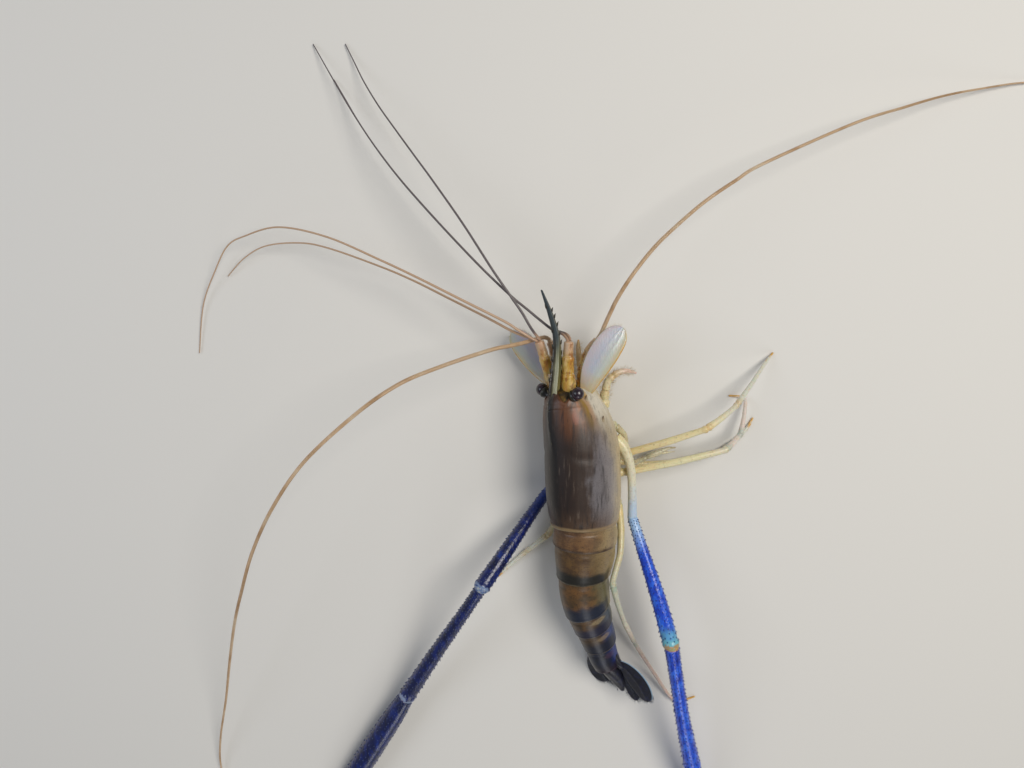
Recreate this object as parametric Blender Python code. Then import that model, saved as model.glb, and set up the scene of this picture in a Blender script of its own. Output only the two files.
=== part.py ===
# A giant river prawn, life size, at rest on a level floor.
# It lies on its left and lower side, rolled so that its back faces up and to the left.
# The sizes below are in millimetres; the meshes are in metres, +Z up, with the head towards +Y.

import math
import random

import bmesh
import bpy
from mathutils import Matrix, Vector

MM = 0.001
GAP = 0.3
SLIVER = 0.02
SEED = 27

# The body's line, front to rear: place along Y, then X, height above the floor, and roll in degrees.
BODY_LINE = [
    (8, -1.5, 31, 46), (0, -0.3, 30.5, 46), (-25, 3.3, 29.5, 46), (-50, 4.8, 29, 46),
    (-75, 6.0, 29, 46), (-97, 5.6, 28, 44), (-110, 5.6, 27, 42), (-122, 7.2, 25.6, 39),
    (-136, 11.4, 23.2, 35), (-150, 16.3, 20.5, 32), (-165, 21.5, 18, 30), (-190, 33.5, 14.5, 30),
]

# The carapace, front to rear: place along Y, half width, half height, and rise of its middle.
CARAPACE = [
    (7.5, 5.5, 7.5, 6.0), (6, 9.0, 11.5, 5.0), (3, 12.6, 15.2, 4.2), (-2, 14.8, 17.6, 3.2),
    (-10, 17.2, 20.0, 2.0), (-20, 18.8, 22.0, 0.9), (-32, 19.8, 23.4, 0), (-45, 20.0, 23.6, 0),
    (-57, 19.8, 23.3, 0), (-66, 19.0, 22.3, 0), (-72, 18.0, 21.2, 0), (-75, 17.7, 20.8, 0),
]

SHELL_PLACES = [7.5, 6, 3.2, 0, -5, -11, -18, -26, -35, -45, -54, -62, -68, -72, -75]

# The abdomen: place along Y, half width and half height.
ABDOMEN = [
    (-70, 17.4, 19.4), (-80, 17.4, 19.4), (-92, 16.4, 18.2), (-104, 14.6, 16.2), (-116, 13.8, 15.2),
    (-128, 12.8, 14.0), (-140, 11.0, 12.2), (-152, 9.6, 10.6), (-166, 8.2, 8.8), (-176, 7.0, 6.0),
]
SOMITE_EDGES = [-75.3, -85, -105.5, -127.5, -139.5, -152.5, -167]
SOMITE_PLEURON = [0.86, 1.0, 0.98, 0.94, 0.9, 0.62]
# Along each somite: part of its length, scale of its section, and share of its pleuron's drop.
SOMITE_SHAPE = [(0, 0.955, 0.72), (0.2, 0.97, 0.92), (0.5, 0.985, 1), (0.8, 1.0, 0.92), (1, 1.012, 0.7)]
BELLY_DEPTH = 0.3
TELSON = [(5.6, 5.0), (5.6, 4.6), (5.2, 3.6), (4.4, 2.6), (3.2, 1.7), (1.4, 0.8)]
TELSON_END = -186

# The rostrum: place along Y, height of its middle over the body's line, half height, half width.
ROSTRUM = [
    (-34, 22.6, 0.9, 0.5), (-20, 21.34, 2.0, 1.0), (-8, 19.81, 3.0, 1.6), (2, 17.27, 4.0, 2.3),
    (12, 15.26, 4.4, 2.2), (24, 14.09, 3.7, 1.7), (36, 14.87, 2.8, 1.3), (48, 19.67, 2.1, 1.0),
    (60, 26.2, 0.7, 0.5),
]

UPPER_TEETH = [-22, -15.5, -9.5, -4, 1, 6, 11, 16, 22, 29, 38, 51]
LOWER_TEETH = [9, 14.5, 20, 25.5, 31, 36, 41, 45.5, 49]
TOOTH_LENGTH = 2.4
TOOTH_RADIUS = 0.95
SPINE_ROOT = 0.9
FLOOR_CLEARANCE = 0.4

EYE_RADIUS = 3.5
EYE_PLACE = (6.1, 12.0, 13.2)

# Colours as linear red, green and blue, and the roughness of each finish.
FINISHES = {
    "shell": ((0.10, 0.075, 0.05), 0.3),
    "eye": ((0.008, 0.005, 0.008), 0.12),
    "claw": ((0.01, 0.03, 0.30), 0.35),
    "leg": ((0.62, 0.52, 0.30), 0.4),
    "feeler": ((0.60, 0.43, 0.27), 0.45),
    "head_parts": ((0.45, 0.25, 0.06), 0.35),
    "scale": ((0.50, 0.48, 0.40), 0.3),
    "fan": ((0.015, 0.018, 0.03), 0.3),
}


def clear_scene():
    for obj in list(bpy.data.objects):
        bpy.data.objects.remove(obj)


def make_finishes():
    for name, (colour, roughness) in FINISHES.items():
        made = bpy.data.materials.new(name)
        made.use_nodes = True
        shader = made.node_tree.nodes["Principled BSDF"]
        shader.inputs["Base Color"].default_value = (*colour, 1)
        shader.inputs["Roughness"].default_value = roughness


def spline(points, at):
    """One smooth value set on a Catmull-Rom curve through the points, at a place from 0 to 1."""
    place = min(max(at, 0), 1) * (len(points) - 1)
    first = min(int(place), len(points) - 2)
    t = place - first
    rows = [points[min(max(first + step, 0), len(points) - 1)] for step in (-1, 0, 1, 2)]
    return [
        0.5 * (2 * b + (c - a) * t + (2 * a - 5 * b + 4 * c - d) * t * t + (3 * b - a - 3 * c + d) * t ** 3)
        for a, b, c, d in zip(*rows)
    ]


def look_up(table, y):
    """The table's values at a place along Y, where the table runs from front to rear."""
    ordered = sorted(table, key=lambda row: -row[0])
    y = min(max(y, ordered[-1][0]), ordered[0][0])
    for index in range(len(ordered) - 1):
        ahead, behind = ordered[index], ordered[index + 1]
        if behind[0] <= y <= ahead[0]:
            part = (ahead[0] - y) / (ahead[0] - behind[0])
            return spline(ordered, (index + part) / (len(ordered) - 1))[1:]
    return ordered[-1][1:]


def body_frame(y):
    """The body's middle at a place along Y, with its forward, right and back directions."""
    x, z, roll = look_up(BODY_LINE, y)
    ahead = look_up(BODY_LINE, y + 2)
    behind = look_up(BODY_LINE, y - 2)
    forward = Vector((ahead[0] - behind[0], 4, ahead[1] - behind[1])).normalized()
    angle = math.radians(roll)
    right = Vector((math.cos(angle), 0, math.sin(angle)))
    right = (right - forward * right.dot(forward)).normalized()
    return Vector((x, y, z)), forward, right, right.cross(forward)


def on_body(y, rise, side):
    """The point at a rise towards the back and a distance to the right of the body's line."""
    middle, _, right, back = body_frame(y)
    return middle + back * rise + right * side


def add_object(name, mesh, finish):
    obj = bpy.data.objects.new(name, mesh)
    bpy.context.scene.collection.objects.link(obj)
    obj.data.materials.clear()
    obj.data.materials.append(bpy.data.materials[finish])
    return obj


def loft(name, rings, finish):
    """A closed body through rings of points, with a flat cap at each end."""
    work = bmesh.new()
    rows = [[work.verts.new(point * MM) for point in ring] for ring in rings]
    for near, far in zip(rows, rows[1:]):
        for index in range(len(near)):
            after = (index + 1) % len(near)
            work.faces.new((near[index], near[after], far[after], far[index]))
    work.faces.new(list(reversed(rows[0])))
    work.faces.new(rows[-1])
    bmesh.ops.recalc_face_normals(work, faces=work.faces)
    bmesh.ops.triangulate(work, faces=work.faces)
    mesh = bpy.data.meshes.new(name)
    work.to_mesh(mesh)
    work.free()
    return add_object(name, mesh, finish)


def keep_largest(obj):
    """Leaves only the largest closed surface of the object's mesh."""
    work = bmesh.new()
    work.from_mesh(obj.data)
    bmesh.ops.dissolve_degenerate(work, dist=SLIVER * MM, edges=work.edges)
    left = set(work.faces)
    islands = []
    while left:
        stack = [left.pop()]
        island = set(stack)
        while stack:
            for edge in stack.pop().edges:
                for face in edge.link_faces:
                    if face in left:
                        left.discard(face)
                        island.add(face)
                        stack.append(face)
        islands.append(island)
    largest = max(islands, key=len)
    bmesh.ops.delete(work, geom=[face for face in work.faces if face not in largest], context="FACES")
    bmesh.ops.triangulate(work, faces=work.faces)
    work.to_mesh(obj.data)
    work.free()


def combine(obj, others, operation, solver="EXACT"):
    """Applies one Boolean of the object with a collection of closed helpers, which are then removed."""
    group = bpy.data.collections.new("helpers")
    bpy.context.scene.collection.children.link(group)
    for other in others:
        bpy.context.scene.collection.objects.unlink(other)
        group.objects.link(other)
    modifier = obj.modifiers.new("combine", "BOOLEAN")
    modifier.operation = operation
    modifier.operand_type = "COLLECTION"
    modifier.collection = group
    modifier.solver = solver
    graph = bpy.context.evaluated_depsgraph_get()
    mesh = bpy.data.meshes.new_from_object(obj.evaluated_get(graph))
    obj.modifiers.clear()
    obj.data = mesh
    for other in others:
        bpy.data.objects.remove(other)
    bpy.data.collections.remove(group)
    keep_largest(obj)


def copy_of(obj):
    twin = obj.copy()
    twin.data = obj.data.copy()
    bpy.context.scene.collection.objects.link(twin)
    return twin


def grown(obj):
    """A copy of a node that is thicker by the gap all round, to cut its neighbours clear of it."""
    twin = copy_of(obj)
    work = bmesh.new()
    work.from_mesh(twin.data)
    work.normal_update()
    places = [vert.co + vert.normal * GAP * MM * vert.calc_shell_factor() for vert in work.verts]
    for vert, place in zip(work.verts, places):
        vert.co = place
    work.to_mesh(twin.data)
    work.free()
    return twin


def circle(middle, side, up, radius, sides, squash=1.0):
    turns = [2 * math.pi * index / sides for index in range(sides)]
    return [middle + side * math.cos(t) * radius + up * math.sin(t) * radius * squash for t in turns]


def sample(route, count):
    """Points on a smooth curve through a route of (x, y, z, radius), as (place, radius) pairs."""
    rows = [spline(route, index / (count - 1)) for index in range(count)]
    return [(Vector(row[:3]), max(row[3], 0.24)) for row in rows]


def tube(name, line, sides, finish, squash=1.0, hint=(0, 0, 1), faces=(None, None)):
    """A tube along (place, radius) pairs, with flat ends that may face other ways than the line runs."""
    rings = []
    previous = None
    for index, (place, radius) in enumerate(line):
        before = line[max(index - 1, 0)][0]
        after = line[min(index + 1, len(line) - 1)][0]
        along = (after - before).normalized()
        if index == 0 and faces[0]:
            along = faces[0]
        if index == len(line) - 1 and faces[1]:
            along = faces[1]
        if previous is None:
            side = along.cross(Vector(hint)).normalized()
        else:
            side = (previous - along * previous.dot(along)).normalized()
        previous = side
        rings.append(circle(place, side, along.cross(side), radius, sides, squash))
    return loft(name, rings, finish)


def shorten(line, start, end):
    """The part of a sampled line between two lengths along it."""
    lengths = [0.0]
    for (a, _), (b, _) in zip(line, line[1:]):
        lengths.append(lengths[-1] + (b - a).length)

    def at(length):
        for index in range(len(line) - 1):
            if lengths[index + 1] >= length:
                part = (length - lengths[index]) / (lengths[index + 1] - lengths[index])
                (a, ra), (b, rb) = line[index], line[index + 1]
                return a.lerp(b, part), ra + (rb - ra) * part
        return line[-1]

    inner = [pair for pair, length in zip(line, lengths) if start + 0.6 < length < end - 0.6]
    return [at(start)] + inner + [at(end)]


def line_length(line):
    return sum((b[0] - a[0]).length for a, b in zip(line, line[1:]))


def carapace_ring(y):
    """One section of the carapace: an egg with its lower side flattened between the gill covers."""
    half_width, half_height, rise = look_up(CARAPACE, y)
    ring = []
    for index in range(28):
        turn = 2 * math.pi * index / 28
        side = math.sin(turn) * half_width
        height = max(math.cos(turn), -0.86) * half_height
        keel = 0.8 * max(0, math.cos(turn)) ** 12
        ring.append(on_body(y, rise + height + keel, side))
    return ring


def spine(place, direction, length, radius, sides=5):
    """A tapered spine, its root sunk below the place that it stands on."""
    direction = direction.normalized()
    side = direction.orthogonal().normalized()
    up = direction.cross(side)
    root = place - direction * SPINE_ROOT
    work = bmesh.new()
    low = [work.verts.new(point * MM) for point in circle(root, side, up, radius, sides)]
    top = work.verts.new((place + direction * length) * MM)
    for index in range(sides):
        work.faces.new((low[index], low[(index + 1) % sides], top))
    work.faces.new(list(reversed(low)))
    bmesh.ops.recalc_face_normals(work, faces=work.faces)
    bmesh.ops.triangulate(work, faces=work.faces)
    mesh = bpy.data.meshes.new("spine")
    work.to_mesh(mesh)
    work.free()
    return add_object("spine", mesh, "shell")


def make_carapace():
    shell = loft("carapace", [carapace_ring(y) for y in SHELL_PLACES], "shell")
    combine(shell, [make_rostrum()], "UNION")
    combine(shell, rostrum_teeth() + face_spines(), "UNION", "MANIFOLD")


def rostrum_teeth():
    """Teeth along the rostrum's upper and lower edges, closest over the eyes and leaning forward."""
    teeth = []
    for sign, places in ((1, UPPER_TEETH), (-1, LOWER_TEETH)):
        for y in places:
            rise, half_height, _ = look_up(ROSTRUM, y)
            _, forward, _, back = body_frame(y)
            edge = on_body(y, rise + sign * (half_height - 0.3), 0)
            length = TOOTH_LENGTH * (0.8 + 0.4 * random.random()) * (0.8 if sign < 0 else 1)
            radius = min(TOOTH_RADIUS, 0.42 * half_height)
            teeth.append(spine(edge, forward + back * sign * 0.62, length, radius, 4))
    return teeth


def face_spines():
    """The two short spines on each side of the carapace, behind the antenna and lower on the flank."""
    spines = []
    for sign in (-1, 1):
        for y, turn in ((1.5, 84), (-12, 98)):
            half_width, half_height, rise = look_up(CARAPACE, y)
            angle = math.radians(turn)
            place = on_body(y, rise + math.cos(angle) * half_height, sign * math.sin(angle) * half_width)
            _, forward, right, _ = body_frame(y)
            spines.append(spine(place, forward + right * sign * 0.35, 3.2, 1.0))
    return spines


def make_rostrum():
    """The upright blade over the eyes, with its side ridges, upturned at the tip."""
    rings = []
    for index in range(17):
        y, rise, half_height, half_width = spline(ROSTRUM, index / 16)
        thin = max(0.3, half_width * 0.28)
        outline = [
            (half_height, thin), (half_height * 0.1, half_width), (-half_height, thin),
            (-half_height, -thin), (half_height * 0.1, -half_width), (half_height, -thin),
        ]
        rings.append([on_body(y, rise + up, side) for up, side in outline])
    return loft("rostrum", rings, "shell")


def trunk_cutter():
    """A body that is thicker than the carapace by the gap all round, to cut the roots of the limbs to."""
    plain = loft("plain_carapace", [carapace_ring(y) for y in SHELL_PLACES], "shell")
    cutter = grown(plain)
    bpy.data.objects.remove(plain)
    return cutter


def somite_ring(y, scale, pleuron):
    """One section of the abdomen: an arch whose two sides hang below the belly."""
    half_width, half_height = look_up(ABDOMEN, y)
    half_width *= scale
    half_height *= scale
    half = [(math.sin(t), math.cos(t)) for t in (math.radians(a) for a in (0, 16, 33, 50, 68, 86, 102))]
    half += [(0.93, -0.18 - 0.26 * pleuron), (0.84, -0.3 - 0.4 * pleuron), (0.74, -0.28 - 0.36 * pleuron)]
    half += [(0.62, -BELLY_DEPTH - 0.04), (0.3, -BELLY_DEPTH - 0.08)]
    points = half + [(0, -BELLY_DEPTH - 0.1)] + [(-side, rise) for side, rise in reversed(half[1:])]
    return [on_body(y, rise * half_height, side * half_width) for side, rise in points]


def make_somites():
    """Six rings of the abdomen, each a little wider at its rear edge than the next one's front."""
    edges = zip(SOMITE_EDGES, SOMITE_EDGES[1:])
    for number, ((front, rear), depth) in enumerate(zip(edges, SOMITE_PLEURON), start=1):
        rear += GAP
        rings = []
        for part, scale, drop in SOMITE_SHAPE:
            rings.append(somite_ring(front + (rear - front) * part, scale, depth * drop))
        loft("abdomen_somite_%d" % number, rings, "shell")


def blade(name, route, widths, side, thickness, finish):
    """A thin plate along a route, as wide as the list says at each place, lying along one side direction."""
    count = len(widths)
    rings = []
    for index, width in enumerate(widths):
        place = Vector(spline(route, index / (count - 1)))
        ahead = Vector(spline(route, min(1, (index + 0.5) / (count - 1))))
        behind = Vector(spline(route, max(0, (index - 0.5) / (count - 1))))
        along = (ahead - behind).normalized()
        across = Vector(side)
        across = (across - along * across.dot(along)).normalized()
        up = across.cross(along)
        half = thickness / 2
        outline = [(-1, 0.35), (0, 1), (1, 0.35), (1, -0.35), (0, -1), (-1, -0.35)]
        rings.append([place + across * width * a + up * half * b for a, b in outline])
    return loft(name, rings, finish)


def make_telson():
    rings = []
    for index, (width, height) in enumerate(TELSON):
        y = SOMITE_EDGES[-1] + (TELSON_END - SOMITE_EDGES[-1]) * index / (len(TELSON) - 1)
        ring = []
        for turn in (math.radians(a) for a in (0, 35, 70, 110, 150, 210, 250, 290, 325)):
            rise = math.cos(turn) * height
            ring.append(on_body(y, max(rise, -0.35 * height), math.sin(turn) * width))
        rings.append(ring)
    loft("telson", rings, "fan")


UROPODS = {
    "right": {
        "root": [(25.5, -160, 21.5), (27.6, -163.6, 22), (30.4, -166.6, 22)],
        "outer": [(28.8, -163.8, 22.2), (35.4, -169.8, 23.6), (42, -179, 24.2), (46.6, -189, 23.2)],
        "inner": [(28.4, -165.5, 20.2), (33.2, -172, 19.8), (37.4, -181, 19.4), (40.2, -191, 18.4)],
        "side": (0.87, 0.0, 0.5),
    },
    "left": {
        "root": [(13.4, -159.5, 13.0), (14.2, -164, 11.5), (16.2, -167.5, 9.8)],
        "outer": [(14.6, -164.5, 10.6), (16.8, -172, 6.9), (19.6, -180, 3.6), (23.4, -188, 1.7)],
        "inner": [(17.4, -166, 10.2), (22.4, -173, 7.9), (27.2, -181, 5.7), (32, -190, 3.9)],
        "side": (0.97, 0.0, 0.22),
    },
}
OUTER_WIDTHS = [2.2, 4.6, 6.0, 6.6, 6.4, 5.2, 2.6]
INNER_WIDTHS = [2.0, 4.0, 5.4, 5.8, 5.4, 4.2, 2.0]


def make_uropods():
    for name, shape in UROPODS.items():
        obj = blade("uropod_" + name, shape["outer"], OUTER_WIDTHS, shape["side"], 1.3, "fan")
        root = [(Vector(place), 2.6) for place in shape["root"]]
        inner = blade("inner", shape["inner"], INNER_WIDTHS, shape["side"], 1.2, "fan")
        combine(obj, [inner, tube("root", root, 8, "fan")], "UNION")
        for neighbour in ("abdomen_somite_6", "telson"):
            combine(obj, [grown(bpy.data.objects[neighbour])], "DIFFERENCE")


def make_eyes():
    y, rise, side = EYE_PLACE
    for name, sign in (("left", -1), ("right", 1)):
        middle = on_body(y, rise, side * sign)
        inner = on_body(y - 3.5, rise - 1.0, 5.0 * sign)
        mesh = bpy.data.meshes.new("eye")
        work = bmesh.new()
        turn = (middle - inner).to_track_quat("Z", "Y").to_matrix().to_4x4()
        place = Matrix.Translation(middle * MM) @ turn
        bmesh.ops.create_uvsphere(work, u_segments=12, v_segments=8, radius=EYE_RADIUS * MM, matrix=place)
        bmesh.ops.triangulate(work, faces=work.faces)
        work.to_mesh(mesh)
        work.free()
        eye = add_object("eye_" + name, mesh, "eye")
        stalk = [(inner, 2.4), (inner.lerp(middle, 0.5), 2.2), (middle, 2.9)]
        combine(eye, [tube("stalk", stalk, 8, "eye")], "UNION")
        combine(eye, [trunk_cutter()], "DIFFERENCE")


# The antennules' bases, each of three joints, and the antennae's bases, which lie under the scales.
ANTENNULE_BASES = {
    "right": [
        (-4.8, 3, 39.4, 3.2), (-5.0, 14, 39.8, 3.2), (-5.0, 15.5, 39.8, 2.7), (-5.1, 24, 40.3, 2.8),
        (-5.1, 25.2, 40.3, 2.4), (-5.2, 32, 41.0, 2.2),
    ],
    "left": [
        (-11.4, 3, 33.8, 3.1), (-14.4, 12, 33.4, 3.2), (-15.0, 13.4, 33.4, 2.7), (-18.2, 22, 33.8, 2.8),
        (-18.7, 23.2, 33.8, 2.4), (-21.2, 31.5, 34.5, 2.2),
    ],
}
ANTENNA_BASES = {
    "right": [
        (3.0, 1, 33.2, 3.6), (3.2, 10, 33.5, 3.5), (4.0, 19, 33.4, 3.0), (6.6, 27, 33.0, 2.5),
        (10.6, 32.2, 32.3, 2.1),
    ],
    "left": [
        (-8.6, 0, 24.5, 4.0), (-9.8, 10, 24.6, 3.6), (-11.2, 19, 25.4, 3.0), (-12.8, 26.5, 26.6, 2.5),
        (-14.6, 30.6, 27.6, 2.2),
    ],
}
# The flat scales beside the antennae: each one's route and the direction that it lies along.
SCALES = {
    "right": {
        "route": [(4.2, 2.5, 38.0), (8.6, 15.5, 38.8), (15.4, 28, 38.6), (24.1, 39.8, 37.2)],
        "side": (0.86, -0.45, 0.1),
    },
    "left": {
        "route": [(-10.6, 4.0, 21.6), (-19.0, 14.5, 18.0), (-27.5, 25.5, 15.8), (-35.5, 35.5, 14)],
        "side": (0.76, 0.45, 0.45),
    },
}
SCALE_WIDTHS = [2.6, 4.8, 6.8, 7.8, 8.0, 6.9, 3.3]


def make_head_parts():
    """The two antennules' bases, the antennae's bases and the flat scales beside them."""
    for name, route in ANTENNULE_BASES.items():
        line = [(Vector(row[:3]), row[3]) for row in route]
        base = tube("antennule_base_" + name, line, 10, "head_parts", squash=0.9)
        combine(base, [grown(bpy.data.objects["eye_" + name])], "DIFFERENCE")
        combine(base, [trunk_cutter()], "DIFFERENCE")
    for name, route in ANTENNA_BASES.items():
        base = tube("antenna_base_" + name, sample(route, 9), 10, "head_parts")
        combine(base, [trunk_cutter()], "DIFFERENCE")
    for name, shape in SCALES.items():
        plate = blade("antennal_scale_" + name, shape["route"], SCALE_WIDTHS, shape["side"], 1.1, "scale")
        combine(plate, [grown(bpy.data.objects["antenna_base_" + name])], "DIFFERENCE")
        combine(plate, [trunk_cutter()], "DIFFERENCE")


FEELERS = {
    "antenna_left": [
        (-14.8, 31.02, 27.72, 1.2), (-15.7, 32.7, 28.2, 1.15), (-17.8, 33.6, 28.9, 1.15),
        (-21, 33.2, 29.8, 1.15), (-25, 32.2, 31.1, 1.15), (-30, 31.0, 33.4, 1.2), (-37, 29.8, 37, 1.15), (-48.5, 27.8, 42, 1.15),
        (-74.4, 20.1, 52, 1.1), (-95, 12.1, 60, 1.1),
        (-116, -2, 66, 1.05), (-143.2, -26.7, 68, 1.0), (-161.8, -52.5, 66, 1.0),
        (-175.9, -79.4, 60, 0.95), (-186.7, -107.2, 51, 0.9), (-194.7, -129.1, 42, 0.85),
        (-203.5, -158.7, 30, 0.8), (-212, -190.6, 18, 0.7), (-221, -223.5, 8, 0.6),
        (-224, -248, 2.5, 0.5), (-218, -270, 0.8, 0.4), (-206, -289, 0.6, 0.3),
    ],
    "antenna_right": [
        (10.95, 32.7, 32.25, 1.25), (13.0, 36.0, 32.3, 1.2), (15, 41, 33, 1.2),
        (17.8, 48, 34.6, 1.15), (21.2, 55.6, 36.2, 1.15),
        (28.5, 67.5, 36.5, 1.1), (39.2, 81.4, 36, 1.1), (49.8, 92, 35, 1.05), (66.7, 106.5, 33, 1.0),
        (84.1, 118.3, 31, 0.95), (98.4, 126.9, 29, 0.9), (148.6, 148.9, 21, 0.8),
        (178.8, 158.7, 15, 0.75), (204, 166.1, 9, 0.65), (228, 171, 4.5, 0.55),
        (251.1, 174.6, 1.6, 0.45), (276, 175, 0.8, 0.35), (300, 170, 0.6, 0.3),
    ],
    "antennule_left_outer": [
        (-22.15, 32.1, 35.45, 0.8), (-26.7, 34.6, 36.2, 0.78), (-33, 38.6, 36.6, 0.76),
        (-40.3, 43.2, 36.8, 0.72), (-62.5, 54.4, 37, 0.7), (-86.7, 66.5, 36, 0.65), (-107.5, 76.1, 33, 0.6),
        (-137.2, 88.5, 27, 0.55), (-165.5, 94.1, 20, 0.5), (-187.2, 89.4, 13, 0.45),
        (-198.2, 83.9, 10, 0.42), (-207.3, 70.4, 6, 0.4), (-217.1, 50.2, 2, 0.35),
        (-221.7, 22, 0.6, 0.3),
    ],
    "antennule_left_inner": [
        (-22.1, 32.3, 33.5, 0.8), (-26.4, 33.9, 33.7, 0.78), (-35.4, 37.2, 33, 0.75),
        (-49.2, 44.5, 32, 0.7), (-70.6, 55.2, 30, 0.65),
        (-90.3, 64.8, 27, 0.6), (-108.6, 72.4, 24.5, 0.55), (-137.4, 82.3, 19, 0.5),
        (-155, 85.6, 14, 0.45), (-176.2, 84.2, 8.5, 0.4), (-190.7, 77.3, 4.5, 0.35),
        (-201.8, 67.1, 0.9, 0.3),
    ],
    "antennule_left_third": [
        (-20.4, 32.5, 35.1, 0.78), (-22.0, 34.6, 36.4, 0.78), (-24.2, 37.4, 37.8, 0.76),
        (-26.6, 41.1, 38.8, 0.75), (-30.8, 48.3, 39.2, 0.73), (-36.9, 57.1, 39.2, 0.7),
        (-46.7, 71.2, 38, 0.66),
        (-62.3, 95.2, 34, 0.6), (-78.5, 118, 29, 0.55), (-89.0, 132.1, 25, 0.5), (-99.7, 146.5, 19.5, 0.45),
        (-109.5, 160, 13.5, 0.42), (-118, 173.5, 7.5, 0.38), (-124, 185, 2.9, 0.34), (-129, 195, 0.8, 0.3),
    ],
    "antennule_right_outer": [
        (-5.9, 32.7, 41.4, 0.8), (-6.5, 34.4, 40.2, 0.78), (-8.4, 36.2, 38.0, 0.77),
        (-11, 37.4, 36.9, 0.76), (-14.2, 38.8, 36.5, 0.75), (-20.5, 43.6, 36.3, 0.73), (-28.0, 49.8, 36, 0.7),
        (-36.3, 56.6, 35.5, 0.68), (-51.7, 71.1, 35, 0.64), (-68.9, 88.8, 33, 0.6),
        (-86.3, 107.5, 29, 0.55), (-99.5, 122.7, 25, 0.5), (-112, 139, 20, 0.45), (-124.9, 158, 13, 0.4),
        (-136.2, 176.7, 7, 0.36), (-147, 195, 0.8, 0.3),
    ],
    "antennule_right_inner": [
        (-4.5, 32.8, 39.9, 0.78), (-4.9, 34.6, 38.8, 0.77), (-6.4, 36.2, 36.2, 0.76),
        (-9.6, 37.2, 34.2, 0.75), (-14.0, 38.5, 33.5, 0.74), (-20.4, 43.4, 33.3, 0.72), (-27.9, 49.6, 33, 0.7),
        (-36.3, 56.4, 32.6, 0.67), (-51.8, 71.1, 32, 0.63), (-69.1, 88.9, 29.6, 0.58),
        (-86.6, 107.8, 25.6, 0.53), (-99.9, 123, 21, 0.48), (-112.6, 139.4, 15.4, 0.44),
        (-122, 153, 9.5, 0.4), (-130, 166, 3.8, 0.36), (-136, 176, 0.8, 0.3),
    ],
}
FEELER_LENGTHS = {"antenna_left": 3, "antenna_right": 3}
FEELER_SAMPLES = 3


def make_feelers():
    """The long lashes, the two antennae's in three lengths each, which meet at flat ends."""
    for name, route in FEELERS.items():
        line = sample(route, FEELER_SAMPLES * len(route))
        parts = FEELER_LENGTHS.get(name, 1)
        total = line_length(line)
        for number in range(parts):
            start = total * number / parts + (GAP / 2 if number else 0)
            end = total * (number + 1) / parts - (GAP / 2 if number < parts - 1 else 0)
            piece = shorten(line, start, end)
            label = "%s_%d" % (name, number + 1) if parts > 1 else name
            tube(label, thin_out(piece), 6 if parts > 1 else 5, "feeler")


def thin_out(line):
    """Drops every second point of a line, and keeps its two ends."""
    return [line[0], line[1]] + line[3:-2:2] + [line[-1]] if len(line) > 6 else line


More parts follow.
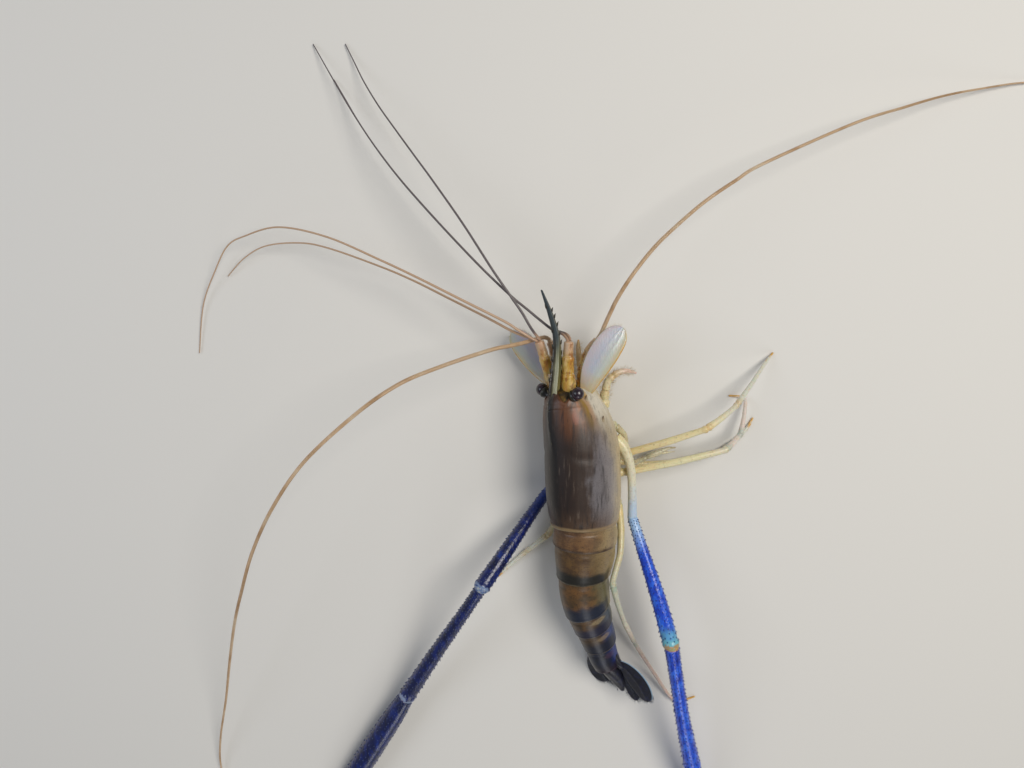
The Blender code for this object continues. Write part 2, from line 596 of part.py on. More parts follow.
# The walking legs, from the body outwards: places and half thicknesses along each.
LEGS = {
    "leg_3_right": [
        (21.5, -36, 17, 2.7), (30, -35.8, 15.9, 2.2), (38, -32.8, 19, 2.1), (53, -26.5, 25.8, 2.1),
        (71, -19, 30.5, 1.8), (74, -17.8, 30.5, 2.1), (83, -12.5, 27, 1.7), (91.5, -7.2, 22, 1.5),
        (93.5, -5.6, 20.5, 1.7), (104, 5.6, 12.5, 1.2), (113.4, 16, 4.6, 1.0), (119, 21.5, 0.35, 0.5),
    ],
    "leg_4_right": [
        (22, -47, 18, 2.7), (32, -46.4, 17.4, 2.2), (44, -43.2, 20, 2.1), (60, -39, 23, 2.1),
        (84.5, -32.5, 24, 1.8), (88, -31.2, 23, 2.0), (92.5, -29, 18.5, 1.6), (97, -26.2, 13.5, 1.5),
        (98.6, -24.8, 12.4, 1.6), (101.5, -15.5, 8, 1.2), (103.2, -7, 3.6, 1.0), (101, -4.6, 1.6, 0.8),
        (94.5, -4.2, 0.35, 0.5),
    ],
    "leg_5_right": [
        (21.5, -57, 17.5, 2.6), (26.6, -65, 19.5, 2.2), (27.9, -80, 23.2, 2.1), (27.0, -93, 28.0, 1.9),
        (22.6, -107, 32.5, 1.7), (22.8, -111, 32.3, 1.9), (26.6, -125, 26.5, 1.6),
        (31.6, -139.5, 18.5, 1.5), (33.2, -143, 17, 1.7), (39.2, -156, 12.5, 1.3), (47.2, -170, 9, 1.2),
        (54.8, -182.5, 6, 1.1), (63.7, -197, 3, 1.0), (70.5, -202.8, 1.4, 0.8), (80.5, -199.5, 0.35, 0.5),
    ],
    "leg_3_left": [
        (12.5, -37.5, 7.6, 2.6), (23, -42.5, 5.2, 2.3), (45, -45.5, 4.0, 2.0), (62, -44.6, 3.4, 1.8),
        (66, -44, 3.2, 2.0), (78, -41, 2.8, 1.7), (89, -38, 2.3, 1.5), (91.5, -37, 2.1, 1.7),
        (100, -30.5, 1.6, 1.2), (106, -23.5, 1.0, 1.0), (109, -18, 0.35, 0.5),
    ],
    "leg_4_left": [
        (10.6, -47, 7.2, 2.5), (3, -59, 4.4, 2.2), (-4, -73, 3.6, 2.0), (-12.5, -88, 3.4, 1.8),
        (-14.5, -90.6, 3.2, 2.0), (-20, -95.5, 2.8, 1.6), (-25.5, -100, 2.4, 1.5),
        (-27.5, -101.6, 2.2, 1.6), (-34.8, -108.3, 1.5, 1.2), (-40, -113.2, 0.9, 1.0),
        (-44, -118, 0.35, 0.5),
    ],
    "leg_5_left": [
        (11.4, -58, 7.4, 2.5), (9, -68, 4.4, 2.2), (6, -84, 3.6, 2.0), (4, -100, 3.2, 1.8),
        (4.2, -103, 3.0, 2.0), (5.6, -112, 2.7, 1.6), (7.4, -120.5, 2.4, 1.5), (7.8, -123, 2.2, 1.7),
        (10.5, -137, 1.5, 1.2), (14, -149, 0.9, 1.0), (17, -155.5, 0.35, 0.5),
    ],
    "leg_1_right": [
        (17.5, -16, 22.5, 2.3), (24, -19, 17.6, 2.1), (29.6, -25, 14.6, 1.9), (32, -36, 10.6, 1.7),
        (34.5, -43.5, 9.4, 1.7), (38.2, -42.5, 9.8, 1.6), (43.5, -39.9, 10.4, 1.3),
        (47.5, -38, 10.4, 1.9), (51.5, -36.4, 10.2, 1.8), (57, -34.2, 9.6, 0.9), (61, -34.0, 9.2, 0.4),
    ],
    "leg_1_left": [
        (10, -16, 14.5, 2.3), (8.8, -13.5, 8.6, 2.1), (5, -8, 5, 1.9), (-2, 2, 3.8, 1.7),
        (-9.5, 9.5, 3, 1.6), (-12, 11.5, 3, 1.7), (-18.5, 18, 2.8, 1.3), (-23.5, 23, 2.7, 1.8),
        (-27.8, 27.2, 1.6, 1.7), (-33, 32, 0.8, 0.9), (-36, 34.6, 0.35, 0.5),
    ],
    "maxilliped_right": [
        (16, -6, 22.5, 2.8), (17, 3, 24.6, 2.4), (18.2, 8.6, 25.4, 2.2), (21, 11.6, 25.8, 2.0),
        (25, 14, 25.8, 1.8), (30, 14.2, 25, 1.3), (34, 13, 24, 0.6),
    ],
    "maxilliped_left": [
        (6.5, -5, 18.5, 2.7), (6.4, -1, 11.4, 2.5), (5.6, 6, 8.4, 2.2), (4.2, 14, 7.2, 2.0),
        (3.4, 20, 6, 1.8), (3, 26, 5, 1.3), (3, 29.5, 4.4, 0.6),
    ],
}


# The second finger of the small pincers on the first legs: its root and its tip.
SMALL_FINGERS = {
    "leg_1_right": ((51.8, -37.1, 10.3), (60.5, -36.4, 9.5)),
    "leg_1_left": ((-28.9, 26.8, 1.9), (-37.6, 31.6, 1.1)),
}


def make_legs():
    for name, route in LEGS.items():
        line = [(Vector(row[:3]), row[3]) for row in route]
        leg = tube(name, eased(line), 8, "leg")
        if name in SMALL_FINGERS:
            root, tip = (Vector(place) for place in SMALL_FINGERS[name])
            combine(leg, [spine(root, tip - root, (tip - root).length, 1.0, 6)], "UNION")
        combine(leg, [trunk_cutter()], "DIFFERENCE")


def eased(line):
    """Adds a point inside each long stretch of a leg, so that it bends smoothly but keeps its joints."""
    route = [(*place, radius) for place, radius in line]
    out = []
    for index in range(len(route) - 1):
        out.append(line[index])
        if (line[index + 1][0] - line[index][0]).length > 9:
            row = spline(route, (index + 0.5) / (len(route) - 1))
            out.append((Vector(row[:3]), row[3]))
    return out + [line[-1]]


# The two big arms, from the body outwards: each segment's route, with half thicknesses.
# A segment ends where the next one starts.
ARMS = {
    "right": {
        "ischium": [
            (23.5, -26, 20.5, 4.2), (28.6, -31, 21.5, 3.4), (32.6, -42, 23, 2.6),
            (33.8, -57, 23.6, 2.5), (34.1, -72.1, 24.1, 2.8),
        ],
        "merus": [
            (34.1, -72.1, 24.1, 2.8), (40.5, -92, 28, 3.4), (49, -118, 33, 4.3),
            (56.8, -145.6, 37.3, 4.8),
        ],
        "carpus": [
            (56.8, -145.6, 37.3, 4.1), (60.7, -166, 34.5, 3.9), (67.2, -198, 28, 4.2),
            (76.4, -235.3, 19, 5.2),
        ],
        "palm": [
            (76.4, -235.3, 19, 4.6), (80.3, -252, 15.2, 6.2), (84, -285, 10.2, 7.1),
            (86.5, -322, 7.0, 6.9),
        ],
        "fixed": [
            (90.0, -318, 5.0, 3.6), (91.8, -338, 3.1, 3.2), (92.6, -360, 2.05, 2.2),
            (88.6, -381, 0.5, 0.7),
        ],
        "moving": [
            (82.5, -322.9, 5.2, 3.2), (81.0, -340, 3.2, 3.2), (81.6, -360, 2.1, 2.2),
            (84.6, -378, 0.6, 0.7),
        ],
    },
    "left": {
        "ischium": [
            (10.6, -27.5, 7.4, 3.4), (7, -33.5, 4.8, 2.7), (0, -43, 3.6, 2.5), (-7, -52.5, 3.7, 2.4),
            (-14.6, -62.3, 5.1, 2.8),
        ],
        "merus": [
            (-14.6, -62.3, 5.1, 2.8), (-26, -75.6, 14.6, 3.4), (-40, -92.5, 27.6, 4.2),
            (-54, -109.6, 38.6, 4.7),
        ],
        "carpus": [
            (-54, -109.6, 38.6, 3.3), (-64, -127, 33.4, 3.5), (-81, -156, 23.5, 4.2),
            (-101.7, -191.6, 14, 5.2),
        ],
        "palm": [
            (-101.7, -191.6, 14, 4.6), (-110.5, -206.6, 11.6, 6.2), (-128.5, -236, 8.6, 7.0),
            (-146.8, -267, 6.8, 6.8),
        ],
        "fixed": [
            (-148.0, -262.0, 5.0, 3.6), (-158.4, -280.2, 3.1, 3.2), (-169, -299.6, 2.05, 2.1),
            (-175.6, -319.2, 0.5, 0.7),
        ],
        "moving": [
            (-143.9, -269.6, 5.2, 3.1), (-150.0, -286.6, 3.2, 3.1), (-159.8, -304.6, 2.1, 2.1),
            (-171.6, -317.6, 0.6, 0.7),
        ],
    },
}
ARM_COUNTS = {"ischium": 8, "merus": 9, "carpus": 10, "palm": 10, "fixed": 9, "moving": 9}
ARM_CHAIN = ["ischium", "merus", "carpus", "palm"]


# Spines on each arm segment: rows round it, spines along each row, their length and root radius.
ARM_SPINES = {
    "merus": (5, 6, 1.9, 0.62),
    "carpus": (6, 7, 2.2, 0.68),
    "palm": (6, 8, 2.3, 0.72),
}


def arm_spines(line, rows, along_row, length, radius):
    """Rows of spines round an arm segment, leaning towards its far end and longest there."""
    spines = []
    for row in range(rows):
        for number in range(along_row):
            part = (number + 0.35 + 0.5 * (row % 2) + 0.16 * random.uniform(-1, 1)) / along_row
            at = min(max(part, 0.05), 0.96) * (len(line) - 1)
            first = min(int(at), len(line) - 2)
            (near, near_radius), (far, far_radius) = line[first], line[first + 1]
            middle = near.lerp(far, at - first)
            thick = near_radius + (far_radius - near_radius) * (at - first)
            along = (far - near).normalized()
            side = along.cross(Vector((0, 0, 1))).normalized()
            turn = 2 * math.pi * (row + 0.5 + 0.12 * random.uniform(-1, 1)) / rows
            out = side * math.cos(turn) + along.cross(side) * math.sin(turn)
            size = length * (0.72 + 0.4 * part) * random.uniform(0.85, 1.15)
            place = middle + out * thick * 0.97
            if (place + out * size).z > FLOOR_CLEARANCE:
                spines.append(spine(place, out + along * 0.75, size, radius, 4))
    return spines


def arm_lines(parts):
    """Each segment's sampled line and end directions; neighbours share a slanting face, a gap apart."""
    lines = {part: sample(route, ARM_COUNTS[part]) for part, route in parts.items()}
    faces = {part: [None, None] for part in parts}
    for inner, outer in zip(ARM_CHAIN, ARM_CHAIN[1:]):
        arriving = (lines[inner][-1][0] - lines[inner][-2][0]).normalized()
        leaving = (lines[outer][1][0] - lines[outer][0][0]).normalized()
        normal = (arriving + leaving).normalized()
        faces[inner][1] = faces[outer][0] = normal
        place, radius = lines[inner][-1]
        lines[inner][-1] = (place - normal * GAP / 2, radius)
        place, radius = lines[outer][0]
        lines[outer][0] = (place + normal * GAP / 2, radius)
    return lines, faces


def make_arms():
    for side, parts in ARMS.items():
        lines, faces = arm_lines(parts)
        made = {}
        for part, line in lines.items():
            finish = "leg" if part == "ischium" else "claw"
            made[part] = tube("big_arm_%s_%s" % (part, side), line, 12, finish, faces=faces[part])
        combine(made["ischium"], [trunk_cutter()], "DIFFERENCE")
        combine(made["palm"], [made["fixed"]], "UNION")
        for part, spec in ARM_SPINES.items():
            combine(made[part], arm_spines(lines[part], *spec), "UNION", "MANIFOLD")


def make_pleopods():
    """Ten small paddles folded back under the abdomen, five on each side."""
    for number in range(5):
        front, rear = SOMITE_EDGES[number:number + 2]
        y = (front + rear) / 2 + 1.5
        half_width, half_height = look_up(ABDOMEN, y)
        length = 15 - number
        for name, sign in (("left", -1), ("right", 1)):
            start = -half_height * (BELLY_DEPTH + 0.1)
            route = [on_body(y - length * part, start - depth, sign * half_width * 0.33) for part, depth in (
                (-0.12, -1.5), (0.1, 1.6), (0.5, 4.2), (1, 5.6))]
            _, _, right, _ = body_frame(y)
            widths = [1.5, 2.2, 2.8, 2.7, 1.4]
            paddle = blade("pleopod_%d_%s" % (number + 1, name), route, widths, right, 1.2, "leg")
            somite = bpy.data.objects["abdomen_somite_%d" % (number + 1)]
            combine(paddle, [grown(somite)], "DIFFERENCE")


def rest_on_floor():
    """Lays what would reach below the floor flat on it, and puts the origin under the model's middle."""
    objects = list(bpy.context.scene.objects)
    for obj in objects:
        for vert in obj.data.vertices:
            vert.co.z = max(vert.co.z, 0)
    places = [vert.co for obj in objects for vert in obj.data.vertices]
    low = [min(place[axis] for place in places) for axis in range(3)]
    high = [max(place[axis] for place in places) for axis in range(3)]
    shift = Vector((-(low[0] + high[0]) / 2, -(low[1] + high[1]) / 2, -low[2]))
    for obj in objects:
        obj.data.transform(Matrix.Translation(shift))
    print("origin shift in mm:", [round(value / MM, 2) for value in shift])
    print("size in mm:", [round((high[axis] - low[axis]) / MM, 1) for axis in range(3)])


def main():
    random.seed(SEED)
    clear_scene()
    make_finishes()
    make_carapace()
    make_somites()
    make_telson()
    make_uropods()
    make_eyes()
    make_head_parts()
    make_feelers()
    make_legs()
    make_arms()
    make_pleopods()
    rest_on_floor()


main()
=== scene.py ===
import functools
import math
import random

import bmesh
import bpy
import numpy
from mathutils import Matrix, Vector


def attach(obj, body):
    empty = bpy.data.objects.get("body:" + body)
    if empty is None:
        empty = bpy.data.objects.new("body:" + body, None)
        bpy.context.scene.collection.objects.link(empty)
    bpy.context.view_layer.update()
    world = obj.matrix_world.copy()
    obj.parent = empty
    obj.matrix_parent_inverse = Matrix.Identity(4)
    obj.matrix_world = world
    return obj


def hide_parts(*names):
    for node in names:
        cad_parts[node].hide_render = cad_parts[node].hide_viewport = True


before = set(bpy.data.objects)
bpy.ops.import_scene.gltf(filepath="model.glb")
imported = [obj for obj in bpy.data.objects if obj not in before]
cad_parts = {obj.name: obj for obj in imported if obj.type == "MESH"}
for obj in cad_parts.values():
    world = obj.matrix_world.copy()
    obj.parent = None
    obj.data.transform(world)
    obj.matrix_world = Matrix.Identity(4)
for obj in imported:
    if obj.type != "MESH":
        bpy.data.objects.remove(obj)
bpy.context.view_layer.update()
random.seed(41)
mm = 0.001

# where the prawn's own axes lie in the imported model
modelPlace = {"shift": Vector((-37.85, 93.0, 0))}


def toModel(place):
    return (Vector(place) + modelPlace["shift"]) * mm


# smooth tables

def between(rows, t):
    # a Catmull-Rom curve between the middle two of four rows of numbers
    return [
        0.5 * (2 * b + (c - a) * t + (2 * a - 5 * b + 4 * c - d) * t * t + (3 * b - a - 3 * c + d) * t ** 3)
        for a, b, c, d in zip(*rows)
    ]


def curveAt(points, at):
    # the curve through rows of numbers, at 0 to 1
    spot = min(max(at, 0), 1) * (len(points) - 1)
    first = min(int(spot), len(points) - 2)
    return between([points[min(max(first + step, 0), len(points) - 1)] for step in (-1, 0, 1, 2)], spot - first)


def lookUp(table, y):
    # the values of a table that runs from head to tail, at a place along Y
    y = min(max(y, table[-1][0]), table[0][0])
    for index in range(len(table) - 1):
        ahead, behind = table[index], table[index + 1]
        if behind[0] <= y <= ahead[0]:
            part = (ahead[0] - y) / (ahead[0] - behind[0])
            return curveAt(table, (index + part) / (len(table) - 1))[1:]
    return table[-1][1:]


def blendStep(low, high, value):
    part = min(max((value - low) / (high - low), 0), 1)
    return part * part * (3 - 2 * part)


def bump(value, centre, width):
    return math.exp(-((value - centre) / width) ** 2)


# the body's line: Y, then X, height and roll in degrees
bodyLine = [
    (8, -1.5, 31, 46), (0, -0.3, 30.5, 46), (-25, 3.3, 29.5, 46), (-50, 4.8, 29, 46),
    (-75, 6.0, 29, 46), (-97, 5.6, 28, 44), (-110, 5.6, 27, 42), (-122, 7.2, 25.6, 39),
    (-136, 11.4, 23.2, 35), (-150, 16.3, 20.5, 32), (-165, 21.5, 18, 30), (-190, 33.5, 14.5, 30),
]


def bodyFrame(y):
    x, z, roll = lookUp(bodyLine, y)
    ahead = lookUp(bodyLine, y + 2)
    behind = lookUp(bodyLine, y - 2)
    forward = Vector((ahead[0] - behind[0], 4, ahead[1] - behind[1])).normalized()
    angle = math.radians(roll)
    right = Vector((math.cos(angle), 0, math.sin(angle)))
    right = (right - forward * right.dot(forward)).normalized()
    return Vector((x, y, z)), forward, right, right.cross(forward)


def onBody(y, rise, side):
    middle, _, right, back = bodyFrame(y)
    return middle + back * rise + right * side


# making meshes

def deselect():
    if bpy.context.object and bpy.context.object.mode != "OBJECT":
        bpy.ops.object.mode_set(mode="OBJECT")
    bpy.ops.object.select_all(action="DESELECT")


def capRings(ring, inner, dome, steps):
    # the rings that close one end with a low dome
    centre = sum(ring, Vector()) / len(ring)
    nextCentre = sum(inner, Vector()) / len(inner)
    out = (centre - nextCentre).normalized() * dome
    rows = []
    for step in range(1, steps + 1):
        turn = math.pi / 2 * step / steps
        rows.append([centre + (point - centre) * math.cos(turn) + out * math.sin(turn) for point in ring])
    rows[-1] = [centre + out] * len(ring)
    return rows


def pointsOf(mesh):
    spots = numpy.empty(len(mesh.vertices) * 3)
    mesh.vertices.foreach_get("co", spots)
    return spots.reshape(-1, 3)


def cornersOf(mesh):
    # the vertex at each corner of each face
    corners = numpy.empty(len(mesh.loops), dtype=int)
    mesh.loops.foreach_get("vertex_index", corners)
    return corners


def ringSkin(name, rings, frontDome=0.0, rearDome=0.0, marks=None, steps=4):
    # a grid primitive wrapped onto rings of points and closed at both ends; its UV map is (round, along)
    front = capRings(rings[0], rings[1], frontDome, steps)
    rings = front[::-1] + rings + capRings(rings[-1], rings[-2], rearDome, steps)
    across, down = len(rings[0]), len(rings)
    marks = marks or [row / (down - 1) for row in range(down)]
    spare = (down - len(marks)) // 2
    marks = numpy.array([marks[0]] * spare + marks + [marks[-1]] * spare)
    deselect()
    bpy.ops.mesh.primitive_grid_add(x_subdivisions=across, y_subdivisions=down - 1, size=1)
    piece = bpy.context.object
    mesh = piece.data
    piece.name = mesh.name = name
    spots = pointsOf(mesh)
    columns = numpy.rint((spots[:, 0] + 0.5) * across).astype(int)
    rows = numpy.rint((spots[:, 1] + 0.5) * (down - 1)).astype(int)
    grid = numpy.array([[toModel(point) for point in ring] for ring in rings])
    spots = grid[rows, columns % across]
    spots[:, 2] = numpy.maximum(spots[:, 2], 0)
    mesh.vertices.foreach_set("co", spots.ravel())
    corners = cornersOf(mesh)
    spread = numpy.stack([columns[corners] / across, marks[rows[corners]]], axis=1)
    mesh.uv_layers[0].data.foreach_set("uv", spread.ravel())
    bpy.ops.object.mode_set(mode="EDIT")
    bpy.ops.mesh.select_all(action="SELECT")
    bpy.ops.mesh.remove_doubles(threshold=0.000001)
    bpy.ops.mesh.normals_make_consistent(inside=False)
    bpy.ops.object.mode_set(mode="OBJECT")
    bpy.ops.object.shade_smooth()
    return piece


def tubeRings(line, around, squash=1.0, hint=(0, 0, 1), faces=(None, None)):
    # rings round (place, radius) pairs
    rings = []
    previous = None
    for index, (place, radius) in enumerate(line):
        before = line[max(index - 1, 0)][0]
        after = line[min(index + 1, len(line) - 1)][0]
        along = (after - before).normalized()
        if index == 0 and faces[0]:
            along = faces[0]
        if index == len(line) - 1 and faces[1]:
            along = faces[1]
        side = along.cross(Vector(hint)) if previous is None else previous - along * previous.dot(along)
        side.normalize()
        previous = side
        up = along.cross(side)
        turns = [2 * math.pi * step / around for step in range(around)]
        rings.append([place + side * math.cos(t) * radius + up * math.sin(t) * radius * squash for t in turns])
    return rings


def sampled(route, count):
    rows = [curveAt(route, index / (count - 1)) for index in range(count)]
    return [(Vector(row[:3]), max(row[3], 0.24)) for row in rows]


def runLengths(line):
    # how far along the line each of its places lies
    lengths = [0.0]
    for (a, _), (b, _) in zip(line, line[1:]):
        lengths.append(lengths[-1] + (b - a).length)
    return lengths


def spotOn(line, lengths, want):
    # the place and radius at a length along the line
    index = max(spot for spot in range(len(line) - 1) if lengths[spot] <= want + 1e-9)
    part = (want - lengths[index]) / max(lengths[index + 1] - lengths[index], 1e-9)
    (near, nearRadius), (far, farRadius) = line[index:index + 2]
    return near.lerp(far, part), nearRadius + (farRadius - nearRadius) * part


def outFrom(line, index):
    # the line's direction at one of its places, and a random direction square to it
    along = (line[index + 1][0] - line[index - 1][0]).normalized()
    out = along.orthogonal()
    out.rotate(Matrix.Rotation(random.uniform(0, 2 * math.pi), 3, along))
    return along, out


def roundOutline(points, count):
    # a closed smooth outline through a few points
    size = len(points)
    made = []
    for index in range(count):
        spot = index / count * size
        first = int(spot)
        made.append(between([points[(first + step) % size] for step in (-1, 0, 1, 2)], spot - first))
    return made


def joinPieces(name, pieces):
    deselect()
    for piece in pieces:
        piece.select_set(True)
    bpy.context.view_layer.objects.active = pieces[0]
    if len(pieces) > 1:
        bpy.ops.object.join()
    pieces[0].name = pieces[0].data.name = name
    return pieces[0]


def scatterCopies(name, template, places, marks):
    # one mesh of many copies of a small template, each with a tiny patch on the UV map OFBake
    source = template.data
    spots = numpy.array([vertex.co for vertex in source.vertices])
    faces = [tuple(face.vertices) for face in source.polygons]
    count = len(spots)
    points = []
    shapes = []
    for number, matrix in enumerate(places):
        turn = numpy.array(matrix.to_3x3())
        points.append(spots @ turn.T + numpy.array(matrix.translation))
        points[-1][:, 2] = numpy.maximum(points[-1][:, 2], 0)
        shapes.extend(tuple(corner + number * count for corner in face) for face in faces)
    mesh = bpy.data.meshes.new(name)
    mesh.from_pydata(numpy.concatenate(points).tolist(), [], shapes)
    patch = 0.003
    layer = mesh.uv_layers.new(name="OFBake")
    corners = cornersOf(mesh)
    low = spots[:, :2].min(axis=0)
    size = max(spots[:, :2].max(axis=0) - low) or 1
    local = (spots[:, :2] - low) / size * patch
    roots = numpy.array(marks)
    layer.data.foreach_set("uv", (roots[corners // count] + local[corners % count]).ravel())
    height = numpy.array([spot[2] for spot in spots])
    height = (height - height.min()) / (height.max() - height.min())
    tip = mesh.attributes.new("tip", "FLOAT", "POINT")
    tip.data.foreach_set("value", numpy.tile(height, len(places)))
    piece = bpy.data.objects.new(name, mesh)
    bpy.context.scene.collection.objects.link(piece)
    mesh.shade_smooth()
    return piece


def standing(place, direction, size, width=None, lie=None):
    # a matrix that stands the template's +Z along a direction, in the model's metres
    ahead = Vector(direction).normalized()
    side = Vector(lie) if lie else ahead.orthogonal()
    side = (side - ahead * side.dot(ahead)).normalized()
    turn = Matrix((side, ahead.cross(side), ahead)).transposed()
    scale = Matrix.Diagonal((width or size, width or size, size))
    return Matrix.Translation(toModel(place)) @ (turn @ scale).to_4x4()


def taperTemplate(name, sides, bend, rows=3, flat=1.0):
    # a unit spine or hair along +Z: a cone with loops, bent towards its tip
    deselect()
    bpy.ops.mesh.primitive_cone_add(vertices=sides, radius1=1, radius2=0.02, depth=1, end_fill_type="NGON")
    piece = bpy.context.object
    piece.name = name
    bpy.ops.object.mode_set(mode="EDIT")
    bpy.ops.mesh.select_all(action="DESELECT")
    work = bmesh.from_edit_mesh(piece.data)
    for edge in work.edges:
        edge.select = abs(edge.verts[0].co.z - edge.verts[1].co.z) > 0.5
    work.select_flush(True)
    bmesh.update_edit_mesh(piece.data)
    bpy.ops.mesh.subdivide(number_cuts=rows)
    bpy.ops.object.mode_set(mode="OBJECT")
    for vertex in piece.data.vertices:
        z = vertex.co.z + 0.5
        swell = 1 + 0.25 * math.sin(math.pi * z)
        vertex.co.x = vertex.co.x * mm * swell + bend * z * z * mm
        vertex.co.y *= mm * swell * flat
        vertex.co.z = z * mm
    return piece


# making materials

def toLinear(code):
    parts = [int(code[start:start + 2], 16) / 255 for start in (1, 3, 5)]
    return [part / 12.92 if part <= 0.04045 else ((part + 0.055) / 1.055) ** 2.4 for part in parts] + [1]


# for each kind of node: the inputs that values fill in turn, the output that is read, and its usual settings
nodeKinds = {
    "Math": ([0, 1, 2], 0, {}),
    "Mix": (["Factor", 6, 7], 2, {"data_type": "RGBA"}),
    "MapRange": (
        ["Value", "From Min", "From Max", "To Min", "To Max"], 0, {"interpolation_type": "SMOOTHSTEP"}),
    "TexNoise": (
        ["Vector", "Scale", "Detail", "Roughness", "Distortion"], "Fac", {"Detail": 3.0, "Roughness": 0.55}),
    "TexVoronoi": (["Vector", "Scale"], "Distance", {}),
    "TexWave": (["Vector", "Scale"], "Fac", {"bands_direction": "X", "wave_profile": "SAW"}),
    "ValToRGB": (["Fac"], "Color", {}),
    "Mapping": (["Vector", "Scale"], "Vector", {}),
    "CombineXYZ": (["X"], 0, {}),
    "SeparateXYZ": (["Vector"], "X", {}),
    "UVMap": ([], "UV", {"uv_map": "UVMap"}),
    "TexCoord": ([], "Object", {}),
    "Attribute": ([], "Fac", {}),
    "Bump": (["Height", "Strength", "Distance"], "Normal", {}),
}


def addNode(tree, kind, *values, stops=(), **settings):
    # a node with its settings and links; values are numbers, hex tones or other nodes' outputs,
    # a kind in capitals is an operation of the Math node, and stops are a colour ramp's
    if kind.isupper():
        kind, settings = "Math", {"operation": kind}
    inputs, shown, usual = nodeKinds[kind]
    node = tree.nodes.new("ShaderNode" + kind)
    for key, value in {**usual, **settings}.items():
        if key in node.inputs:
            node.inputs[key].default_value = value
        else:
            setattr(node, key, value)
    for key, value in zip(inputs, values):
        if isinstance(value, bpy.types.NodeSocket):
            tree.links.new(value, node.inputs[key])
        else:
            node.inputs[key].default_value = toLinear(value) if isinstance(value, str) else value
    if stops:
        node.color_ramp.interpolation = "EASE"
        for _ in stops[2:]:
            node.color_ramp.elements.new(1)
        for element, (spot, tone) in zip(node.color_ramp.elements, stops):
            element.position = spot
            element.color = toLinear(tone)
    return node.outputs[shown]


def newMaterial(name, **shine):
    # shine: values for the shader's own sockets; the second thing returned adds a node to this material
    made = bpy.data.materials.new(name)
    made.use_nodes = True
    shader = made.node_tree.nodes["Principled BSDF"]
    for key, value in shine.items():
        shader.inputs[key.replace("_", " ")].default_value = value
    return made, functools.partial(addNode, made.node_tree)


def finished(made, add, tone, height=None, depth=0.0):
    # the tone goes over the whole surface; the relief's depth is in millimetres
    tree = made.node_tree
    shader = tree.nodes["Principled BSDF"]
    tree.links.new(tone, shader.inputs["Base Color"])
    if depth:
        tree.links.new(add("Bump", height, 1.0, depth * mm), shader.inputs["Normal"])
    return made


def grain(size):
    # the scale of a texture whose grain is this many millimetres
    return 1 / (size * mm)


def bodyPlaces(add):
    # Object coordinates, and the UV map split into along and down (0 back, 1 belly)
    across = add("SeparateXYZ", add("UVMap"))
    down = add("MULTIPLY", add("PINGPONG", across, 0.5), 2.0)
    return add("TexCoord"), across.node.outputs["Y"], down


def shifted(add, value, noise, amount):
    # the value, moved to and fro by a noise
    return add("MULTIPLY_ADD", add("SUBTRACT", noise, 0.5), amount, value)


def spotOf(add, along, down, place, size, strength):
    # a mask that is strongest inside a soft oval on the UV map and 0 outside it
    far = 0.0
    for value, middle, reach in zip((along, down), place, size):
        off = add("DIVIDE", add("SUBTRACT", value, middle), reach)
        far = add("MULTIPLY_ADD", off, off, far)
    return add("MapRange", far, 0.25, 1.2, strength, 0.0)


def coated(add, tone, *coats):
    # the tone with others over it, each through its own mask
    for mask, over in coats:
        tone = add("Mix", mask, tone, over)
    return tone


def dress(piece, material, slot, *nodes):
    piece.data.materials.clear()
    piece.data.materials.append(material)
    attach(piece, "root")
    if nodes:
        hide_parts(*nodes)


